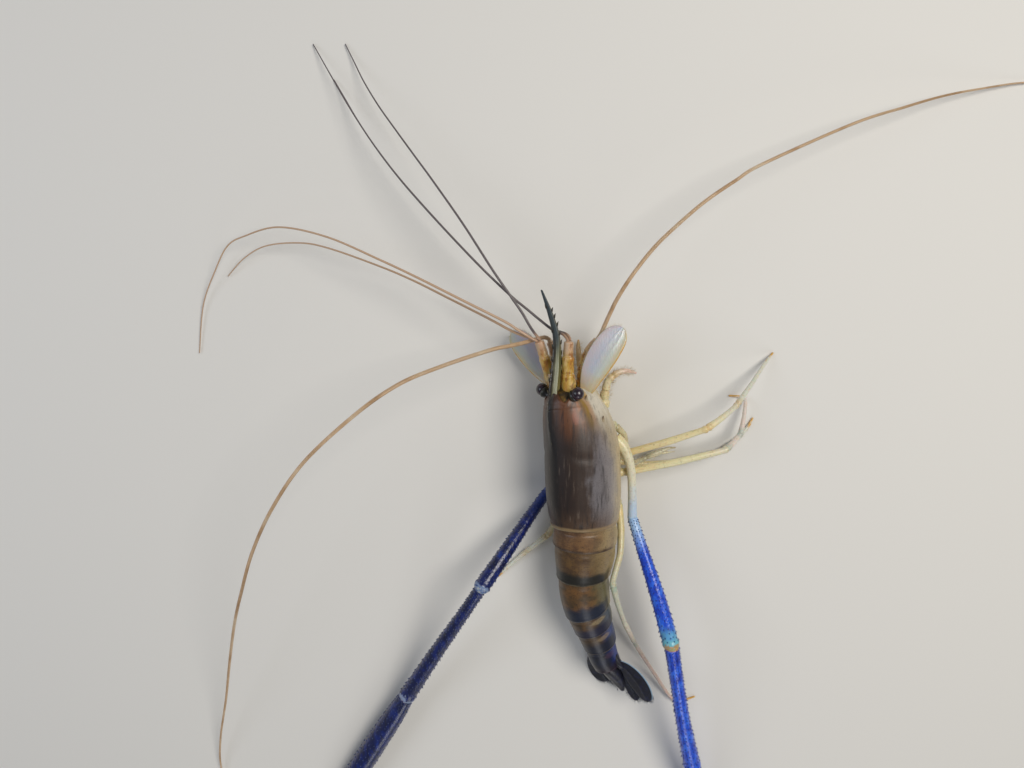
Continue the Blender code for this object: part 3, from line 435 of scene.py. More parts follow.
# polished chitin of the carapace: brown-black along the back, grey flank under a painted sheen, cream lower
# edge
def makeCarapaceChitin():
    made, add = newMaterial("carapaceChitin", Roughness=0.42, IOR=1.5, Coat_Weight=0.16, Coat_Roughness=0.25)
    spots, along, down = bodyPlaces(add)
    streaks = add("TexNoise", add("Mapping", spots, (1, 0.1, 1)), grain(1.7), 5, 0.62)
    broad = add("TexNoise", add("Mapping", spots, (1, 0.25, 1)), grain(5.5), 3)
    cloud = add("TexNoise", spots, grain(8), 4)
    specks = add("TexNoise", spots, grain(0.7), 2, 0.7)
    wander = shifted(add, shifted(add, down, cloud, 0.12), broad, 0.11)
    flank = add("ValToRGB", wander, stops=[
        (0.0, "#1c110c"), (0.1, "#241711"), (0.22, "#2e1f16"), (0.33, "#3a2a20"), (0.41, "#52443a"),
        (0.48, "#7e7268"), (0.56, "#a2957f"), (0.66, "#b8a684"), (0.82, "#c6b791"), (1.0, "#c4b48c"),
    ])
    front = add("ValToRGB", shifted(add, down, broad, 0.07), stops=[
        (0.0, "#20140d"), (0.07, "#3e2616"), (0.16, "#5e371c"), (0.3, "#623b1d"), (0.335, "#8a5224"),
        (0.365, "#6d4b1e"), (0.41, "#88681c"), (0.45, "#a98a6c"), (0.5, "#c9c1b0"), (0.62, "#d4ccba"),
        (0.8, "#d0c4a4"),
    ])
    dorsal = add("MapRange", wander, 0.3, 0.62, 0.75, 0.22)
    tone = coated(
        add, flank,
        (add("MapRange", shifted(add, along, broad, 0.2), 0.1, 0.36, 1.0, 0.0), front),
        # rust behind the eye, a painted grey sheen standing in for sky reflection on the flank, brown before
        # the rear edge
        (spotOf(add, shifted(add, along, cloud, 0.1), down, (0.15, 0.27), (0.06, 0.04), 0.45), "#94461f"),
        # painted sheen: a grey patch of painted sky reflection along the flank
        (spotOf(add, shifted(add, along, broad, 0.3), wander, (0.68, 0.44), (0.38, 0.16), 0.52), "#828188"),
        (add("MULTIPLY", add("MapRange", along, 0.8, 0.98, 0.0, 0.5),
             add("MapRange", down, 0.45, 0.7, 1.0, 0.0)), "#5a422c"),
        # dark and pale streaks, the dark line along the back, and specks
        (add("MULTIPLY", add("MapRange", streaks, 0.5, 0.68), dorsal), "#160e0c"),
        (add("MULTIPLY", add("MapRange", streaks, 0.3, 0.42, 0.4, 0.0), dorsal), "#7f7164"),
        (add("MULTIPLY", add("MapRange", shifted(add, down, broad, 0.05), 0.025, 0.07, 0.95, 0.0),
             add("MapRange", along, 0.45, 0.95, 1.0, 0.35)), "#0d0908"),
        (add("MULTIPLY", add("MapRange", specks, 0.55, 0.68, 0.0, 0.5),
             add("MapRange", along, 0.12, 0.4, 0.3, 1.0)), "#2a1d15"),
        # the tan rear rim, the amber brow, and the pale breast plate below the free lower edge
        (add("MapRange", shifted(add, along, cloud, 0.012), 0.968, 0.985, 0.0, 0.62), "#9a8158"),
        (spotOf(add, along, down, (0.0, 0.46), (0.05, 0.09), 0.8), "#b98a2e"),
        (add("MapRange", down, 0.825, 0.845), "#cfc09a"),
    )
    pits = add("TexNoise", spots, grain(0.6), 3)
    return finished(made, add, tone, add("MULTIPLY_ADD", streaks, 0.5, pits), 0.08)


# the carapace: Y, half width, half height and rise of its middle
carapace = {
    "table": [
        (7.5, 5.5, 7.5, 6.0), (6, 9.0, 11.5, 5.0), (3, 12.6, 15.2, 4.2), (-2, 14.8, 17.6, 3.2),
        (-10, 17.2, 20.0, 2.0), (-20, 18.8, 22.0, 0.9), (-32, 19.8, 23.4, 0), (-45, 20.0, 23.6, 0),
        (-57, 19.8, 23.3, 0), (-66, 19.0, 22.3, 0), (-72, 18.0, 21.2, 0), (-75, 17.7, 20.8, 0),
    ],
    "around": 180,
    "along": 170,
    "rimDepth": 3.0,
    "lowerEdge": 149,
}


def carapaceFront(angle):
    # the front edge: forward under the rostrum, back round the eye, a tooth by the feeler, back at the belly
    teeth = -4.6 * bump(angle, 36, 17) + 1.6 * bump(angle, 64, 4) - 1.6 * bump(angle, 88, 10)
    return 7.2 + teeth - 7 * blendStep(105, 165, angle)


def carapaceRow(part, ahead=0.0, inward=0.0):
    # one row of points round the shell; part is 0 at the front edge and 1 at the rear one
    ring = []
    for index in range(carapace["around"]):
        turn = 2 * math.pi * index / carapace["around"]
        angle = math.degrees(turn if turn <= math.pi else 2 * math.pi - turn)
        front, rear = carapaceFront(angle), -72.6 + 0.6 * bump(angle, 0, 45)
        y = front + (rear - front) * part + ahead
        halfWidth, halfHeight, rise = lookUp(carapace["table"], y)
        # the neck furrow, the gill cover's groove and the flat over the heart
        fade = blendStep(14, 45, angle) * (1 - blendStep(84, 110, angle))
        sink = 0.34 * bump(part, 0.34 + 0.0022 * angle, 0.035) * fade
        fade = blendStep(0.1, 0.2, part) * (1 - blendStep(0.4, 0.6, part))
        sink += 0.4 * bump(angle, 92 + 20 * part, 3.6) * fade
        fade = blendStep(0.45, 0.6, part) * (1 - blendStep(0.86, 0.97, part))
        sink += 0.3 * bump(angle, 40 + 8 * part, 6) * fade
        lip = 0.35 * bump(part, 0.985, 0.01) + 0.3 * bump(part, 0.012, 0.012)
        lip += 0.5 * bump(angle, carapace["lowerEdge"] - 3, 3.5)
        below = blendStep(carapace["lowerEdge"], carapace["lowerEdge"] + 3, angle)
        sink += below * (1.5 + 0.35 * math.cos(2 * math.pi * y / 9.6))
        shrink = 1 - (sink - lip + inward) / halfHeight
        height = math.cos(turn)
        if height < -0.8:
            height = -0.8 - 0.06 * math.sin(min(1, (-0.8 - height) / 0.2) * math.pi / 2)
        keel = 0.5 * max(0, math.cos(turn)) ** 14 + 1.5 * bump(angle, 0, 7) * (1 - blendStep(0.12, 0.5, part))
        ring.append(onBody(y, rise + height * halfHeight * shrink + keel, math.sin(turn) * halfWidth * shrink))
    return ring


def makeFaceSkin():
    # the soft skin round the eyes: dark olive brown, blotched with amber
    made, add = newMaterial("faceSkin", Roughness=0.42, IOR=1.5, Coat_Weight=0.2)
    spots = bodyPlaces(add)[0]
    tone = add("ValToRGB", add("TexNoise", spots, grain(3.0), 4), stops=[
        (0.32, "#1d160c"), (0.48, "#37290f"), (0.6, "#5a4317"), (0.76, "#8a6522"),
    ])
    return finished(made, add, tone, add("TexNoise", spots, grain(0.6), 2), 0.1)


def makeCarapace(chitin):
    parts = [(index / carapace["along"]) ** 1.15 for index in range(carapace["along"] + 1)]
    # both edges turn in under themselves
    rows = [carapaceRow(0, -2.6, 1.2), carapaceRow(0, -0.2, 0.8), carapaceRow(0, 0.15, 0.4)]
    rows += [carapaceRow(part) for part in parts]
    rows += [carapaceRow(1, -0.2, 0.5), carapaceRow(1, 0.1, 0.9), carapaceRow(1, carapace["rimDepth"], 1.3)]
    dress(ringSkin("carapaceShell", rows, marks=parts), chitin, "shell")
    # the soft front of the head, inside the shell's front edge
    rings = []
    for index in range(31):
        y = -6 + 13.5 * (index / 30) ** 0.7
        halfWidth, halfHeight, rise = lookUp(carapace["table"], y)
        turns = [2 * math.pi * step / 72 for step in range(72)]
        grow = 1 - 1.4 / halfHeight
        lobes = [0.3 * bump(math.degrees(t) % 60, 30, 9) for t in turns]
        ups = [max(math.cos(t), -0.84) * halfHeight * grow - lobe for t, lobe in zip(turns, lobes)]
        rings.append([onBody(y, rise + up, math.sin(t) * halfWidth * grow) for up, t in zip(ups, turns)])
    head = ringSkin("headFront", rings, 0.0, 1.2)
    dress(head, makeFaceSkin(), "amber_head_parts")
    # the short spines behind the feeler and on the flank
    template = taperTemplate("faceSpineShape", 14, 0.0, rows=6)
    places = []
    for sign in (-1, 1):
        for y, turn in ((1.5, 84), (-12, 98)):
            halfWidth, halfHeight, rise = lookUp(carapace["table"], y)
            angle = math.radians(turn)
            _, forward, right, _ = bodyFrame(y)
            out = right * sign
            place = onBody(y, rise + math.cos(angle) * halfHeight, sign * math.sin(angle) * halfWidth)
            places.append(standing(place - out * 0.5 - forward, forward + out * 0.3, 3.8, 1.0, tuple(out)))
    spines = scatterCopies("faceSpines", template, places, [(0.2 * index, 0.5) for index in range(4)])
    bpy.data.objects.remove(template)
    dress(spines, makeSetae("faceSpineChitin", "#a99b80", "#6b5236"), "shell")


# the rostrum: Y, height of its middle, half height, half width; and its teeth
rostrum = {
    "table": [
        (-34, 22.6, 0.9, 0.5), (-20, 21.34, 2.0, 1.0), (-8, 19.81, 3.0, 1.6), (2, 17.27, 4.0, 2.3),
        (12, 15.26, 4.4, 2.2), (24, 14.09, 3.7, 1.7), (36, 14.87, 2.8, 1.3), (48, 19.67, 2.1, 1.0),
        (60, 26.2, 0.7, 0.5),
    ],
    "upperTeeth": [-22, -15.5, -9.5, -4, 1, 6, 11, 16, 22, 29, 38, 51],
    "lowerTeeth": [9, 14.5, 20, 25.5, 31, 36, 41, 45.5, 49],
    "toothLength": 2.5,
    "rows": 150,
}


def makeRostrumChitin():
    # smooth, waxy chitin: olive sides at the root, slate grey towards the tip, a dark upper ridge
    made, add = newMaterial("rostrumChitin", Roughness=0.36, IOR=1.55, Coat_Weight=0.3, Coat_Roughness=0.2)
    spots, along, down = bodyPlaces(add)
    side = add("ValToRGB", along, stops=[
        (0.0, "#160f0c"), (0.25, "#241811"), (0.36, "#4f4126"), (0.46, "#6d683b"), (0.62, "#5c5f42"),
        (0.76, "#404a4d"), (1.0, "#353f46"),
    ])
    ridge = add("ValToRGB", along, stops=[
        (0.0, "#0f0b09"), (0.5, "#17120c"), (0.8, "#1f262a"), (1.0, "#2b353c"),
    ])
    cloud = add("TexNoise", add("Mapping", spots, (1, 0.3, 1)), grain(2.2), 4)
    edge = shifted(add, down, cloud, 0.3)
    stripe = add("MULTIPLY", add("MapRange", along, 0.32, 0.42), add("MapRange", along, 0.56, 0.7, 0.7, 0.0))
    tone = coated(
        add, side,
        (add("MULTIPLY", stripe, add("MapRange", edge, 0.58, 0.7, 1.0, 0.0)), "#a3a488"),
        (add("MapRange", edge, 0.14, 0.4, 1.0, 0.0), ridge),
        (add("MapRange", edge, 0.7, 0.95, 0.0, 0.6), "#8a7d55"),
    )
    return finished(made, add, tone, add("TexNoise", spots, grain(0.8), 3), 0.1)


def makeRostrum(chitin):
    rings = []
    marks = []
    for index in range(rostrum["rows"] + 1):
        part = index / rostrum["rows"]
        y, rise, halfHeight, halfWidth = curveAt(rostrum["table"], part)
        thin = max(0.28, halfWidth * 0.26)
        half = [
            (halfHeight, 0), (halfHeight * 0.82, thin), (halfHeight * 0.3, thin * 1.2),
            (halfHeight * 0.12, halfWidth), (-halfHeight * 0.08, halfWidth * 0.8),
            (-halfHeight * 0.4, thin * 1.1), (-halfHeight * 0.85, thin * 0.9), (-halfHeight, 0),
        ]
        outline = half + [(up, -side) for up, side in half[-2:0:-1]]
        rings.append([onBody(y, rise + up, side) for up, side in roundOutline(outline, 42)])
        marks.append(part)
    blade = ringSkin("rostrumBlade", rings, 0.6, 0.8, marks)
    # one tooth: a cone flattened to the blade and hooked forward
    tooth = taperTemplate("toothShape", 12, -0.35, rows=5, flat=0.42)
    places = []
    for sign, spots in ((1, rostrum["upperTeeth"]), (-1, rostrum["lowerTeeth"])):
        for y in spots:
            # this table runs from the root to the tip
            rise, halfHeight, _ = lookUp(rostrum["table"][::-1], y)
            _, forward, _, back = bodyFrame(y)
            size = rostrum["toothLength"] * random.uniform(0.9, 1.15) * (0.85 if sign < 0 else 1)
            root = onBody(y, rise + sign * (halfHeight - 0.7), 0)
            lean = forward + back * sign * 0.75
            places.append(standing(root, lean, size + 0.8, min(1.0, 0.5 * halfHeight), back * sign))
    roots = [(0.1 + 0.03 * index, 0.5) for index in range(len(places))]
    teeth = scatterCopies("rostrumTeeth", tooth, places, roots)
    bpy.data.objects.remove(tooth)
    dress(blade, chitin, "shell", "carapace")
    horn = makeSetae("toothChitin", "#17130e", "#28261f", "#55503f", Roughness=0.3, IOR=1.55, Coat_Weight=0.3)
    dress(teeth, horn, "shell")


# the eyes: place ahead of the body's line, above it and to its side
eyes = {"place": (6.1, 12.0, 13.2), "radius": 3.5, "root": (2.2, 12.6, 4.4)}


def makeCornea():
    # the compound eye: near-black with a purple depth under a clear, finely faceted cornea
    made, add = newMaterial("eyeCornea", Roughness=0.26, IOR=1.5, Coat_Weight=0.5, Coat_Roughness=0.12)
    spots = bodyPlaces(add)[0]
    cloud = add("TexNoise", spots, grain(2.4), 2)
    tone = add("ValToRGB", cloud, stops=[(0.3, "#120a10"), (0.55, "#241322"), (0.75, "#3a1c30")])
    return finished(made, add, tone, add("TexVoronoi", spots, grain(0.28)), 0.03)


def makeEyes(cornea):
    stalkChitin, add = newMaterial("stalkChitin", Roughness=0.35, IOR=1.5, Coat_Weight=0.4)
    spots, along, _ = bodyPlaces(add)
    tone = add("ValToRGB", along, stops=[
        (0.0, "#2a2013"), (0.3, "#1a150e"), (0.55, "#12100d"), (0.68, "#3a3c28"), (0.76, "#1a1210"),
        (0.85, "#120a10"),
    ])
    blotches = add("MapRange", add("TexNoise", spots, grain(1.2)), 0.5, 0.7)
    finished(stalkChitin, add, coated(add, tone, (blotches, "#100c0a")))
    y, rise, side = eyes["place"]
    rootY, rootRise, rootSide = eyes["root"]
    for name, sign in (("left", -1), ("right", 1)):
        middle = onBody(y, rise, side * sign)
        inner = onBody(rootY, rootRise, rootSide * sign)
        out = (middle - inner).normalized()
        deselect()
        bpy.ops.mesh.primitive_uv_sphere_add(segments=48, ring_count=32, radius=1)
        ball = bpy.context.object
        turn = out.to_track_quat("Z", "Y").to_matrix()
        for vertex in ball.data.vertices:
            # a low band where the cornea meets the stalk
            spot = vertex.co.copy()
            spot.z = spot.z if spot.z > -0.35 else -0.35 + (spot.z + 0.35) * 0.6
            vertex.co = toModel(middle + turn @ (spot * eyes["radius"]))
        bpy.ops.object.shade_smooth()
        ball.name = ball.data.name = "eyeball_" + name
        dress(ball, cornea, "eye", "eye_" + name)
        reach = (middle - inner).length
        profile = [(0.0, 2.5), (0.2, 2.3), (0.4, 2.0), (0.55, 2.5), (0.68, 3.3), (0.76, 3.45), (0.84, 3.1)]
        knots = [curveAt(profile, step / 24) for step in range(25)]
        line = [(inner + out * reach * part, radius) for part, radius in knots]
        stalk = ringSkin("eyestalk_" + name, tubeRings(line, 32), 0.3, 0.0)
        dress(stalk, stalkChitin, "eye")


# the abdomen: Y, half width and half height, then the plates' edges and side lobes
abdomen = {
    "table": [
        (-70, 17.4, 19.4), (-80, 17.4, 19.4), (-92, 16.4, 18.2), (-104, 14.6, 16.2), (-116, 13.8, 15.2),
        (-128, 12.8, 14.0), (-140, 11.0, 12.2), (-152, 9.6, 10.6), (-166, 8.2, 8.8), (-176, 7.0, 6.0),
    ],
    "edges": [-72.9, -85, -105.5, -127.5, -139.5, -152.5, -167],
    "lobes": [0.86, 1.0, 0.98, 0.94, 0.9, 0.62],
    "belly": 0.3,
    "around": 144,
    "along": 44,
}


def somiteRing(y, scale, lobe):
    halfWidth, halfHeight = lookUp(abdomen["table"], y)
    halfWidth *= scale
    halfHeight *= scale
    belly = abdomen["belly"]
    half = [(math.sin(t), math.cos(t)) for t in (math.radians(a) for a in (0, 16, 33, 50, 68, 86, 102))]
    half += [(0.93, -0.18 - 0.26 * lobe), (0.84, -0.3 - 0.4 * lobe), (0.74, -0.28 - 0.36 * lobe)]
    half += [(0.62, -belly - 0.04), (0.3, -belly - 0.08)]
    points = half + [(0, -belly - 0.1)] + [(-side, rise) for side, rise in reversed(half[1:])]
    outline = roundOutline(points, abdomen["around"])
    return [onBody(y, rise * halfHeight, side * halfWidth) for side, rise in outline]


# each plate's tones: two of its back, its flank, its dark band and that band's reach,
# the pale spot on its side and how strong it is, and its lower edge
plateTones = [
    ("#563b24", "#735331", "#94805c", "#3f2d1f", (0.8, 0.98), "#94805c", 0.0, "#bfae80"),
    ("#4a341e", "#664b28", "#8a7650", "#12130e", (0.56, 0.78), "#a08c62", 0.0, "#b8a67a"),
    ("#46341b", "#6a4924", "#665f40", "#0c1a30", (0.54, 0.74), "#9a855c", 0.0, "#a89a70"),
    ("#35281a", "#5a4022", "#3a4450", "#181830", (0.4, 0.66), "#a3906a", 0.5, "#8e8a72"),
    ("#2a2018", "#4a3722", "#22386e", "#0b1226", (0.3, 0.62), "#a08a68", 0.42, "#6a6c74"),
    ("#0c0e18", "#141a30", "#183079", "#1c1220", (0.55, 0.9), "#6b3f52", 0.2, "#4a4c66"),
]


def makeAbdomenChitin(number):
    # thinner, slightly clear chitin: olive brown, a dark band before each rear edge, pale and blue patches
    name = "abdomenChitin%d" % number
    made, add = newMaterial(name, Roughness=0.42, IOR=1.5, Coat_Weight=0.15, Coat_Roughness=0.25)
    spots, along, down = bodyPlaces(add)
    dark, warm, side, band, reach, spot, strength, low = plateTones[number - 1]
    cloud = add("TexNoise", spots, grain(5), 4)
    patches = add("TexNoise", spots, grain(9), 3)
    fine = add("TexNoise", add("Mapping", spots, (0.4, 1.6, 0.4)), grain(1.5), 5, 0.62)
    specks = add("TexNoise", spots, grain(0.6), 2, 0.7)
    wander = shifted(add, shifted(add, along, patches, 0.34), fine, 0.14)
    fade = add("MapRange", shifted(add, down, cloud, 0.25), 0.4, 0.62, 0.97, 0.35)
    blurred = shifted(add, along, cloud, 0.2), shifted(add, down, fine, 0.06)
    tone = coated(
        add, add("ValToRGB", cloud, stops=[(0.32, dark), (0.66, warm)]),
        (add("MapRange", shifted(add, down, patches, 0.2), 0.22, 0.46), side),
        (add("MULTIPLY", add("MapRange", wander, *reach), fade), band),
        (spotOf(add, *blurred, (0.26, 0.31), (0.13, 0.13), strength), spot),
        (add("MapRange", fine, 0.52, 0.7, 0.0, 0.4), "#120d0a"),
        (add("MULTIPLY", add("MapRange", along, 0.955, 0.985),
             add("MapRange", cloud, 0.4, 0.62, 0.04, 0.28)), spot),
        (add("MapRange", specks, 0.54, 0.68, 0.0, 0.6), "#17110c"),
        (add("MapRange", shifted(add, down, cloud, 0.12), 0.52, 0.74), low),
    )
    return finished(made, add, tone, add("ADD", fine, add("TexNoise", spots, grain(0.6), 2)), 0.07)


def makeAbdomen():
    edges = abdomen["edges"]
    for number, lobe in enumerate(abdomen["lobes"], 1):
        front, rear = edges[number - 1], edges[number]
        rings = []
        marks = []
        tucked = 2.6 if number > 1 else 3.2
        for index in range(7):
            # the part that slides under the plate ahead
            part = index / 7
            rings.append(somiteRing(front + tucked * (1 - part), 0.915 + 0.03 * part, lobe * 0.45))
            marks.append(0.0)
        for index in range(abdomen["along"] + 1):
            part = index / abdomen["along"]
            scale = 0.955 + 0.057 * part + 0.009 * bump(part, 0.97, 0.025) - 0.01 * bump(part, 0.17, 0.05)
            drop = 0.66 + 0.36 * math.sin(math.pi * (0.12 + 0.76 * part)) ** 0.8
            rings.append(somiteRing(front + (rear - front) * part, scale, lobe * drop))
            marks.append(part)
        for inward in (0.985, 0.95):
            rings.append(somiteRing(rear + 0.15 * (1 - inward) * 20, inward, lobe * 0.6))
            marks.append(1.0)
        plate = ringSkin("tailPlate_%d" % number, rings, marks=marks)
        dress(plate, makeAbdomenChitin(number), "shell", "abdomen_somite_%d" % number)


# the tail fan
tailFan = {
    "telson": [(5.6, 5.0), (5.8, 4.7), (5.5, 3.7), (4.8, 2.7), (3.6, 1.8), (1.6, 0.9)],
    "telsonEnd": -186,
    "right": {
        "root": [(25.5, -160, 21.5), (27.6, -163.6, 22), (30.4, -166.6, 22)],
        "outer": [(28.8, -163.8, 22.2), (35.4, -169.8, 23.6), (42, -179, 24.2), (46.6, -189, 23.2)],
        "inner": [(28.4, -165.5, 20.2), (33.2, -172, 19.8), (37.4, -181, 19.4), (40.2, -191, 18.4)],
        "side": (0.87, 0.0, 0.5),
    },
    "left": {
        "root": [(13.4, -159.5, 13.0), (14.2, -164, 11.5), (16.2, -167.5, 9.8)],
        "outer": [(14.6, -164.5, 10.6), (16.8, -172, 6.9), (19.6, -180, 3.6), (23.4, -188, 1.7)],
        "inner": [(17.4, -166, 10.2), (22.4, -173, 7.9), (27.2, -181, 5.7), (32, -190, 3.9)],
        "side": (0.97, 0.0, 0.22),
    },
    "outerWidths": [2.2, 4.6, 6.0, 6.6, 6.4, 5.2, 2.6],
    "innerWidths": [2.0, 4.0, 5.4, 5.8, 5.4, 4.2, 2.0],
    "fringe": 3.2,
}


def bladeRings(route, widths, side, thickness, rows, ribs, across=44):
    # a thin plate along a route; ribs are (place across, width, height) ridges on both faces
    rings = []
    edges = []
    for index in range(rows + 1):
        part = index / rows
        width = curveAt([(value,) for value in widths], part)[0]
        if part > 0.9:
            width *= math.sqrt(max(0.0, 1 - ((part - 0.9) / 0.1) ** 2)) * 0.75 + 0.25
        place = Vector(curveAt(route, part))
        before, after = max(0, part - 0.04), min(1, part + 0.04)
        along = (Vector(curveAt(route, after)) - Vector(curveAt(route, before))).normalized()
        lie = Vector(side)
        lie = (lie - along * lie.dot(along)).normalized()
        up = lie.cross(along)
        ring = []
        for step in range(across):
            turn = 2 * math.pi * step / across
            out = math.cos(turn)
            thick = thickness / 2 * math.copysign(abs(math.sin(turn)) ** 0.6, math.sin(turn))
            relief = sum(height * bump(out, spot, spread) for spot, spread, height in ribs)
            ring.append(place + lie * width * out + up * (thick + relief * math.sin(turn)))
        rings.append(ring)
        edges.append((place, lie, up, along, width))
    return rings, edges


def makeFanChitin(name, rim):
    # the tail fan: blue-black chitin with a thin pale blue outer edge
    made, add = newMaterial(name, Roughness=0.42, IOR=1.5, Coat_Weight=0.2, Coat_Roughness=0.22)
    spots, along, down = bodyPlaces(add)
    cloud = add("TexNoise", spots, grain(3), 4)
    fibres = add("TexNoise", add("Mapping", spots, (1, 0.4, 1)), grain(0.9), 3)
    tone = coated(
        add, add("ValToRGB", cloud, stops=[(0.3, "#07070f"), (0.5, "#0d0e1e"), (0.72, "#151a3a")]),
        (add("MapRange", along, 0.02, 0.2, 0.5, 0.0), "#3a1f30"),
        (add("MapRange", fibres, 0.55, 0.75, 0.0, 0.35), "#2a2c4c"),
        (add("MapRange", down, 0.1, 0.17, rim, 0.0), "#8aa6bc"),
    )
    return finished(made, add, tone, fibres, 0.14)


def makeSetae(name, *tones, **shine):
    # bristles, spines and teeth, whose tone runs from root to tip
    made, add = newMaterial(name, **{"Roughness": 0.5, "IOR": 1.5, **shine})
    stops = [(index / (len(tones) - 1), tone) for index, tone in enumerate(tones)]
    return finished(made, add, add("ValToRGB", add("Attribute", attribute_name="tip"), stops=stops))


def fringeOf(name, edges, setae, slot, template, length, sign, start, spacing=0.2, thick=0.09):
    # a row of bristles along one edge of a plate, and round its tip
    places = []
    marks = []
    for index in range(len(edges) - 1):
        part = index / (len(edges) - 1)
        if part < start:
            continue
        place, lie, up, along, width = edges[index]
        after = edges[index + 1]
        rim = place + lie * width * sign
        step = (after[0] + after[1] * after[4] * sign) - rim
        count = max(1, int(step.length / spacing))
        outward = (lie * sign - step.normalized() * (lie * sign).dot(step.normalized())).normalized()
        for number in range(count):
            spot = rim + step * (number + random.random()) / count - outward * 0.2
            lean = outward + along * random.uniform(0.5, 0.9) + up * random.uniform(-0.12, 0.12)
            size = length * random.uniform(0.8, 1.1) * (0.4 + 0.6 * blendStep(start, start + 0.15, part))
            places.append(standing(spot, lean, size, thick, up))
            marks.append((part * 0.9, 0.4 + 0.1 * sign))
    fringe = scatterCopies(name, template, places, marks)
    dress(fringe, setae, slot)


def makeTailFan(bristle):
    chitin = makeFanChitin("uropodChitin", 0.9)
    setae = makeSetae("fanSetae", "#0c0c1a", "#4d5a6e")
    rings = []
    marks = []
    count = 60
    for index in range(count + 1):
        part = index / count
        y = -167 + (tailFan["telsonEnd"] + 167) * part
        width, height = curveAt(tailFan["telson"], part)
        outline = [(math.sin(t) * width, max(math.cos(t), -0.35) * height) for t in
                   (2 * math.pi * step / 56 for step in range(56))]
        groove = 0.25 * math.sin(math.pi * part)
        sunk = [rise - groove * bump(side, 0, 1.0) * (rise > 0) for side, rise in outline]
        rings.append([onBody(y, up, side) for up, (side, _) in zip(sunk, outline)])
        marks.append(part)
    telson = ringSkin("telsonBlade", rings, 0.2, 1.0, marks)
    dress(telson, makeFanChitin("telsonChitin", 0.0), "tail_fan", "telson")
    thorns = []
    template = taperTemplate("thornShape", 8, 0.2)
    for y, side, rise in ((-177, 2.4, 2.9), (-184, 1.8, 2.2)):
        for sign in (-1, 1):
            _, forward, _, back = bodyFrame(y)
            thorns.append(standing(onBody(y, rise - 0.4, side * sign), back * 0.5 - forward, 1.5, 0.35))
    spines = scatterCopies("telsonSpines", template, thorns, [(0.2 * index, 0.5) for index in range(4)])
    bpy.data.objects.remove(template)
    dress(spines, setae, "tail_fan")
    for name in ("left", "right"):
        shape = tailFan[name]
        ribs = [(0.0, 0.09, 0.42), (-0.32, 0.05, 0.15), (0.32, 0.05, 0.15)]
        outer, outerEdges = bladeRings(shape["outer"], tailFan["outerWidths"], shape["side"], 0.95, 64, ribs)
        inner, innerEdges = bladeRings(shape["inner"], tailFan["innerWidths"], shape["side"], 0.9, 60, ribs)
        parts = [step / 16 for step in range(17)]
        root = [(Vector(curveAt(shape["root"], part)), 2.55 - 0.5 * part ** 3) for part in parts]
        pieces = [
            ringSkin("fanOuter_" + name, outer, 0.3, 0.3),
            ringSkin("fanInner_" + name, inner, 0.3, 0.3),
            ringSkin("fanRoot_" + name, tubeRings(root, 32), 0.4, 1.4),
        ]
        blades = joinPieces("fanBlades_" + name, pieces)
        dress(blades, chitin, "tail_fan", "uropod_" + name)
        outward = 1 if name == "right" else -1
        for label, edges, sign, share, first in (
            ("inner", innerEdges, -outward, 1.0, 0.25), ("innerOut", innerEdges, outward, 1.0, 0.25),
            ("outerIn", outerEdges, -outward, 1.0, 0.35), ("outer", outerEdges, outward, 0.8, 0.82),
        ):
            size = tailFan["fringe"] * share
            fringeOf("fanFringe_%s_%s" % (name, label), edges, setae, "tail_fan", bristle, size, sign, first)


# the head's limbs
headLimbs = {
    "antennule": {
        "right": [
            (-5.2, 3, 39.4, 3.9), (-5.5, 14, 39.6, 4.0), (-5.5, 15.5, 39.6, 3.5), (-5.5, 24, 40.1, 3.5),
            (-5.5, 25.2, 40.1, 3.0), (-5.3, 32, 40.8, 2.8),
        ],
        "left": [
            (-11.4, 3, 33.8, 3.3), (-14.2, 12, 33.2, 3.9), (-14.8, 13.4, 33.2, 3.4), (-17.8, 22, 33.6, 3.5),
            (-18.3, 23.2, 33.6, 3.0), (-20.9, 31.5, 34.3, 2.8),
        ],
    },
    "antenna": {
        "right": [
            (3.0, 1, 33.2, 3.6), (3.2, 10, 33.5, 3.5), (4.0, 19, 33.4, 3.0), (6.6, 27, 33.0, 2.5),
            (10.6, 32.2, 32.3, 2.1),
        ],
        "left": [
            (-8.6, 0, 24.5, 4.0), (-9.8, 10, 24.6, 3.6), (-11.2, 19, 25.4, 3.0), (-12.8, 26.5, 26.6, 2.5),
            (-14.6, 30.6, 27.6, 2.2),
        ],
    },
    "antennaJoints": [0.0, 0.3, 0.52, 0.74, 1.0],
    "scale": {
        "right": {
            "route": [(4.2, 2.5, 38.0), (8.6, 15.5, 38.8), (15.4, 28, 38.6), (24.1, 39.8, 37.2)],
            "side": (0.86, -0.45, 0.1),
        },
        "left": {
            "route": [(-10.6, 4.0, 21.6), (-19.0, 14.5, 18.0), (-27.5, 25.5, 15.8), (-35.5, 35.5, 14)],
            "side": (0.76, 0.45, 0.45),
        },
    },
    "scaleWidths": [2.6, 4.8, 6.8, 7.8, 8.0, 6.9, 3.3],
}


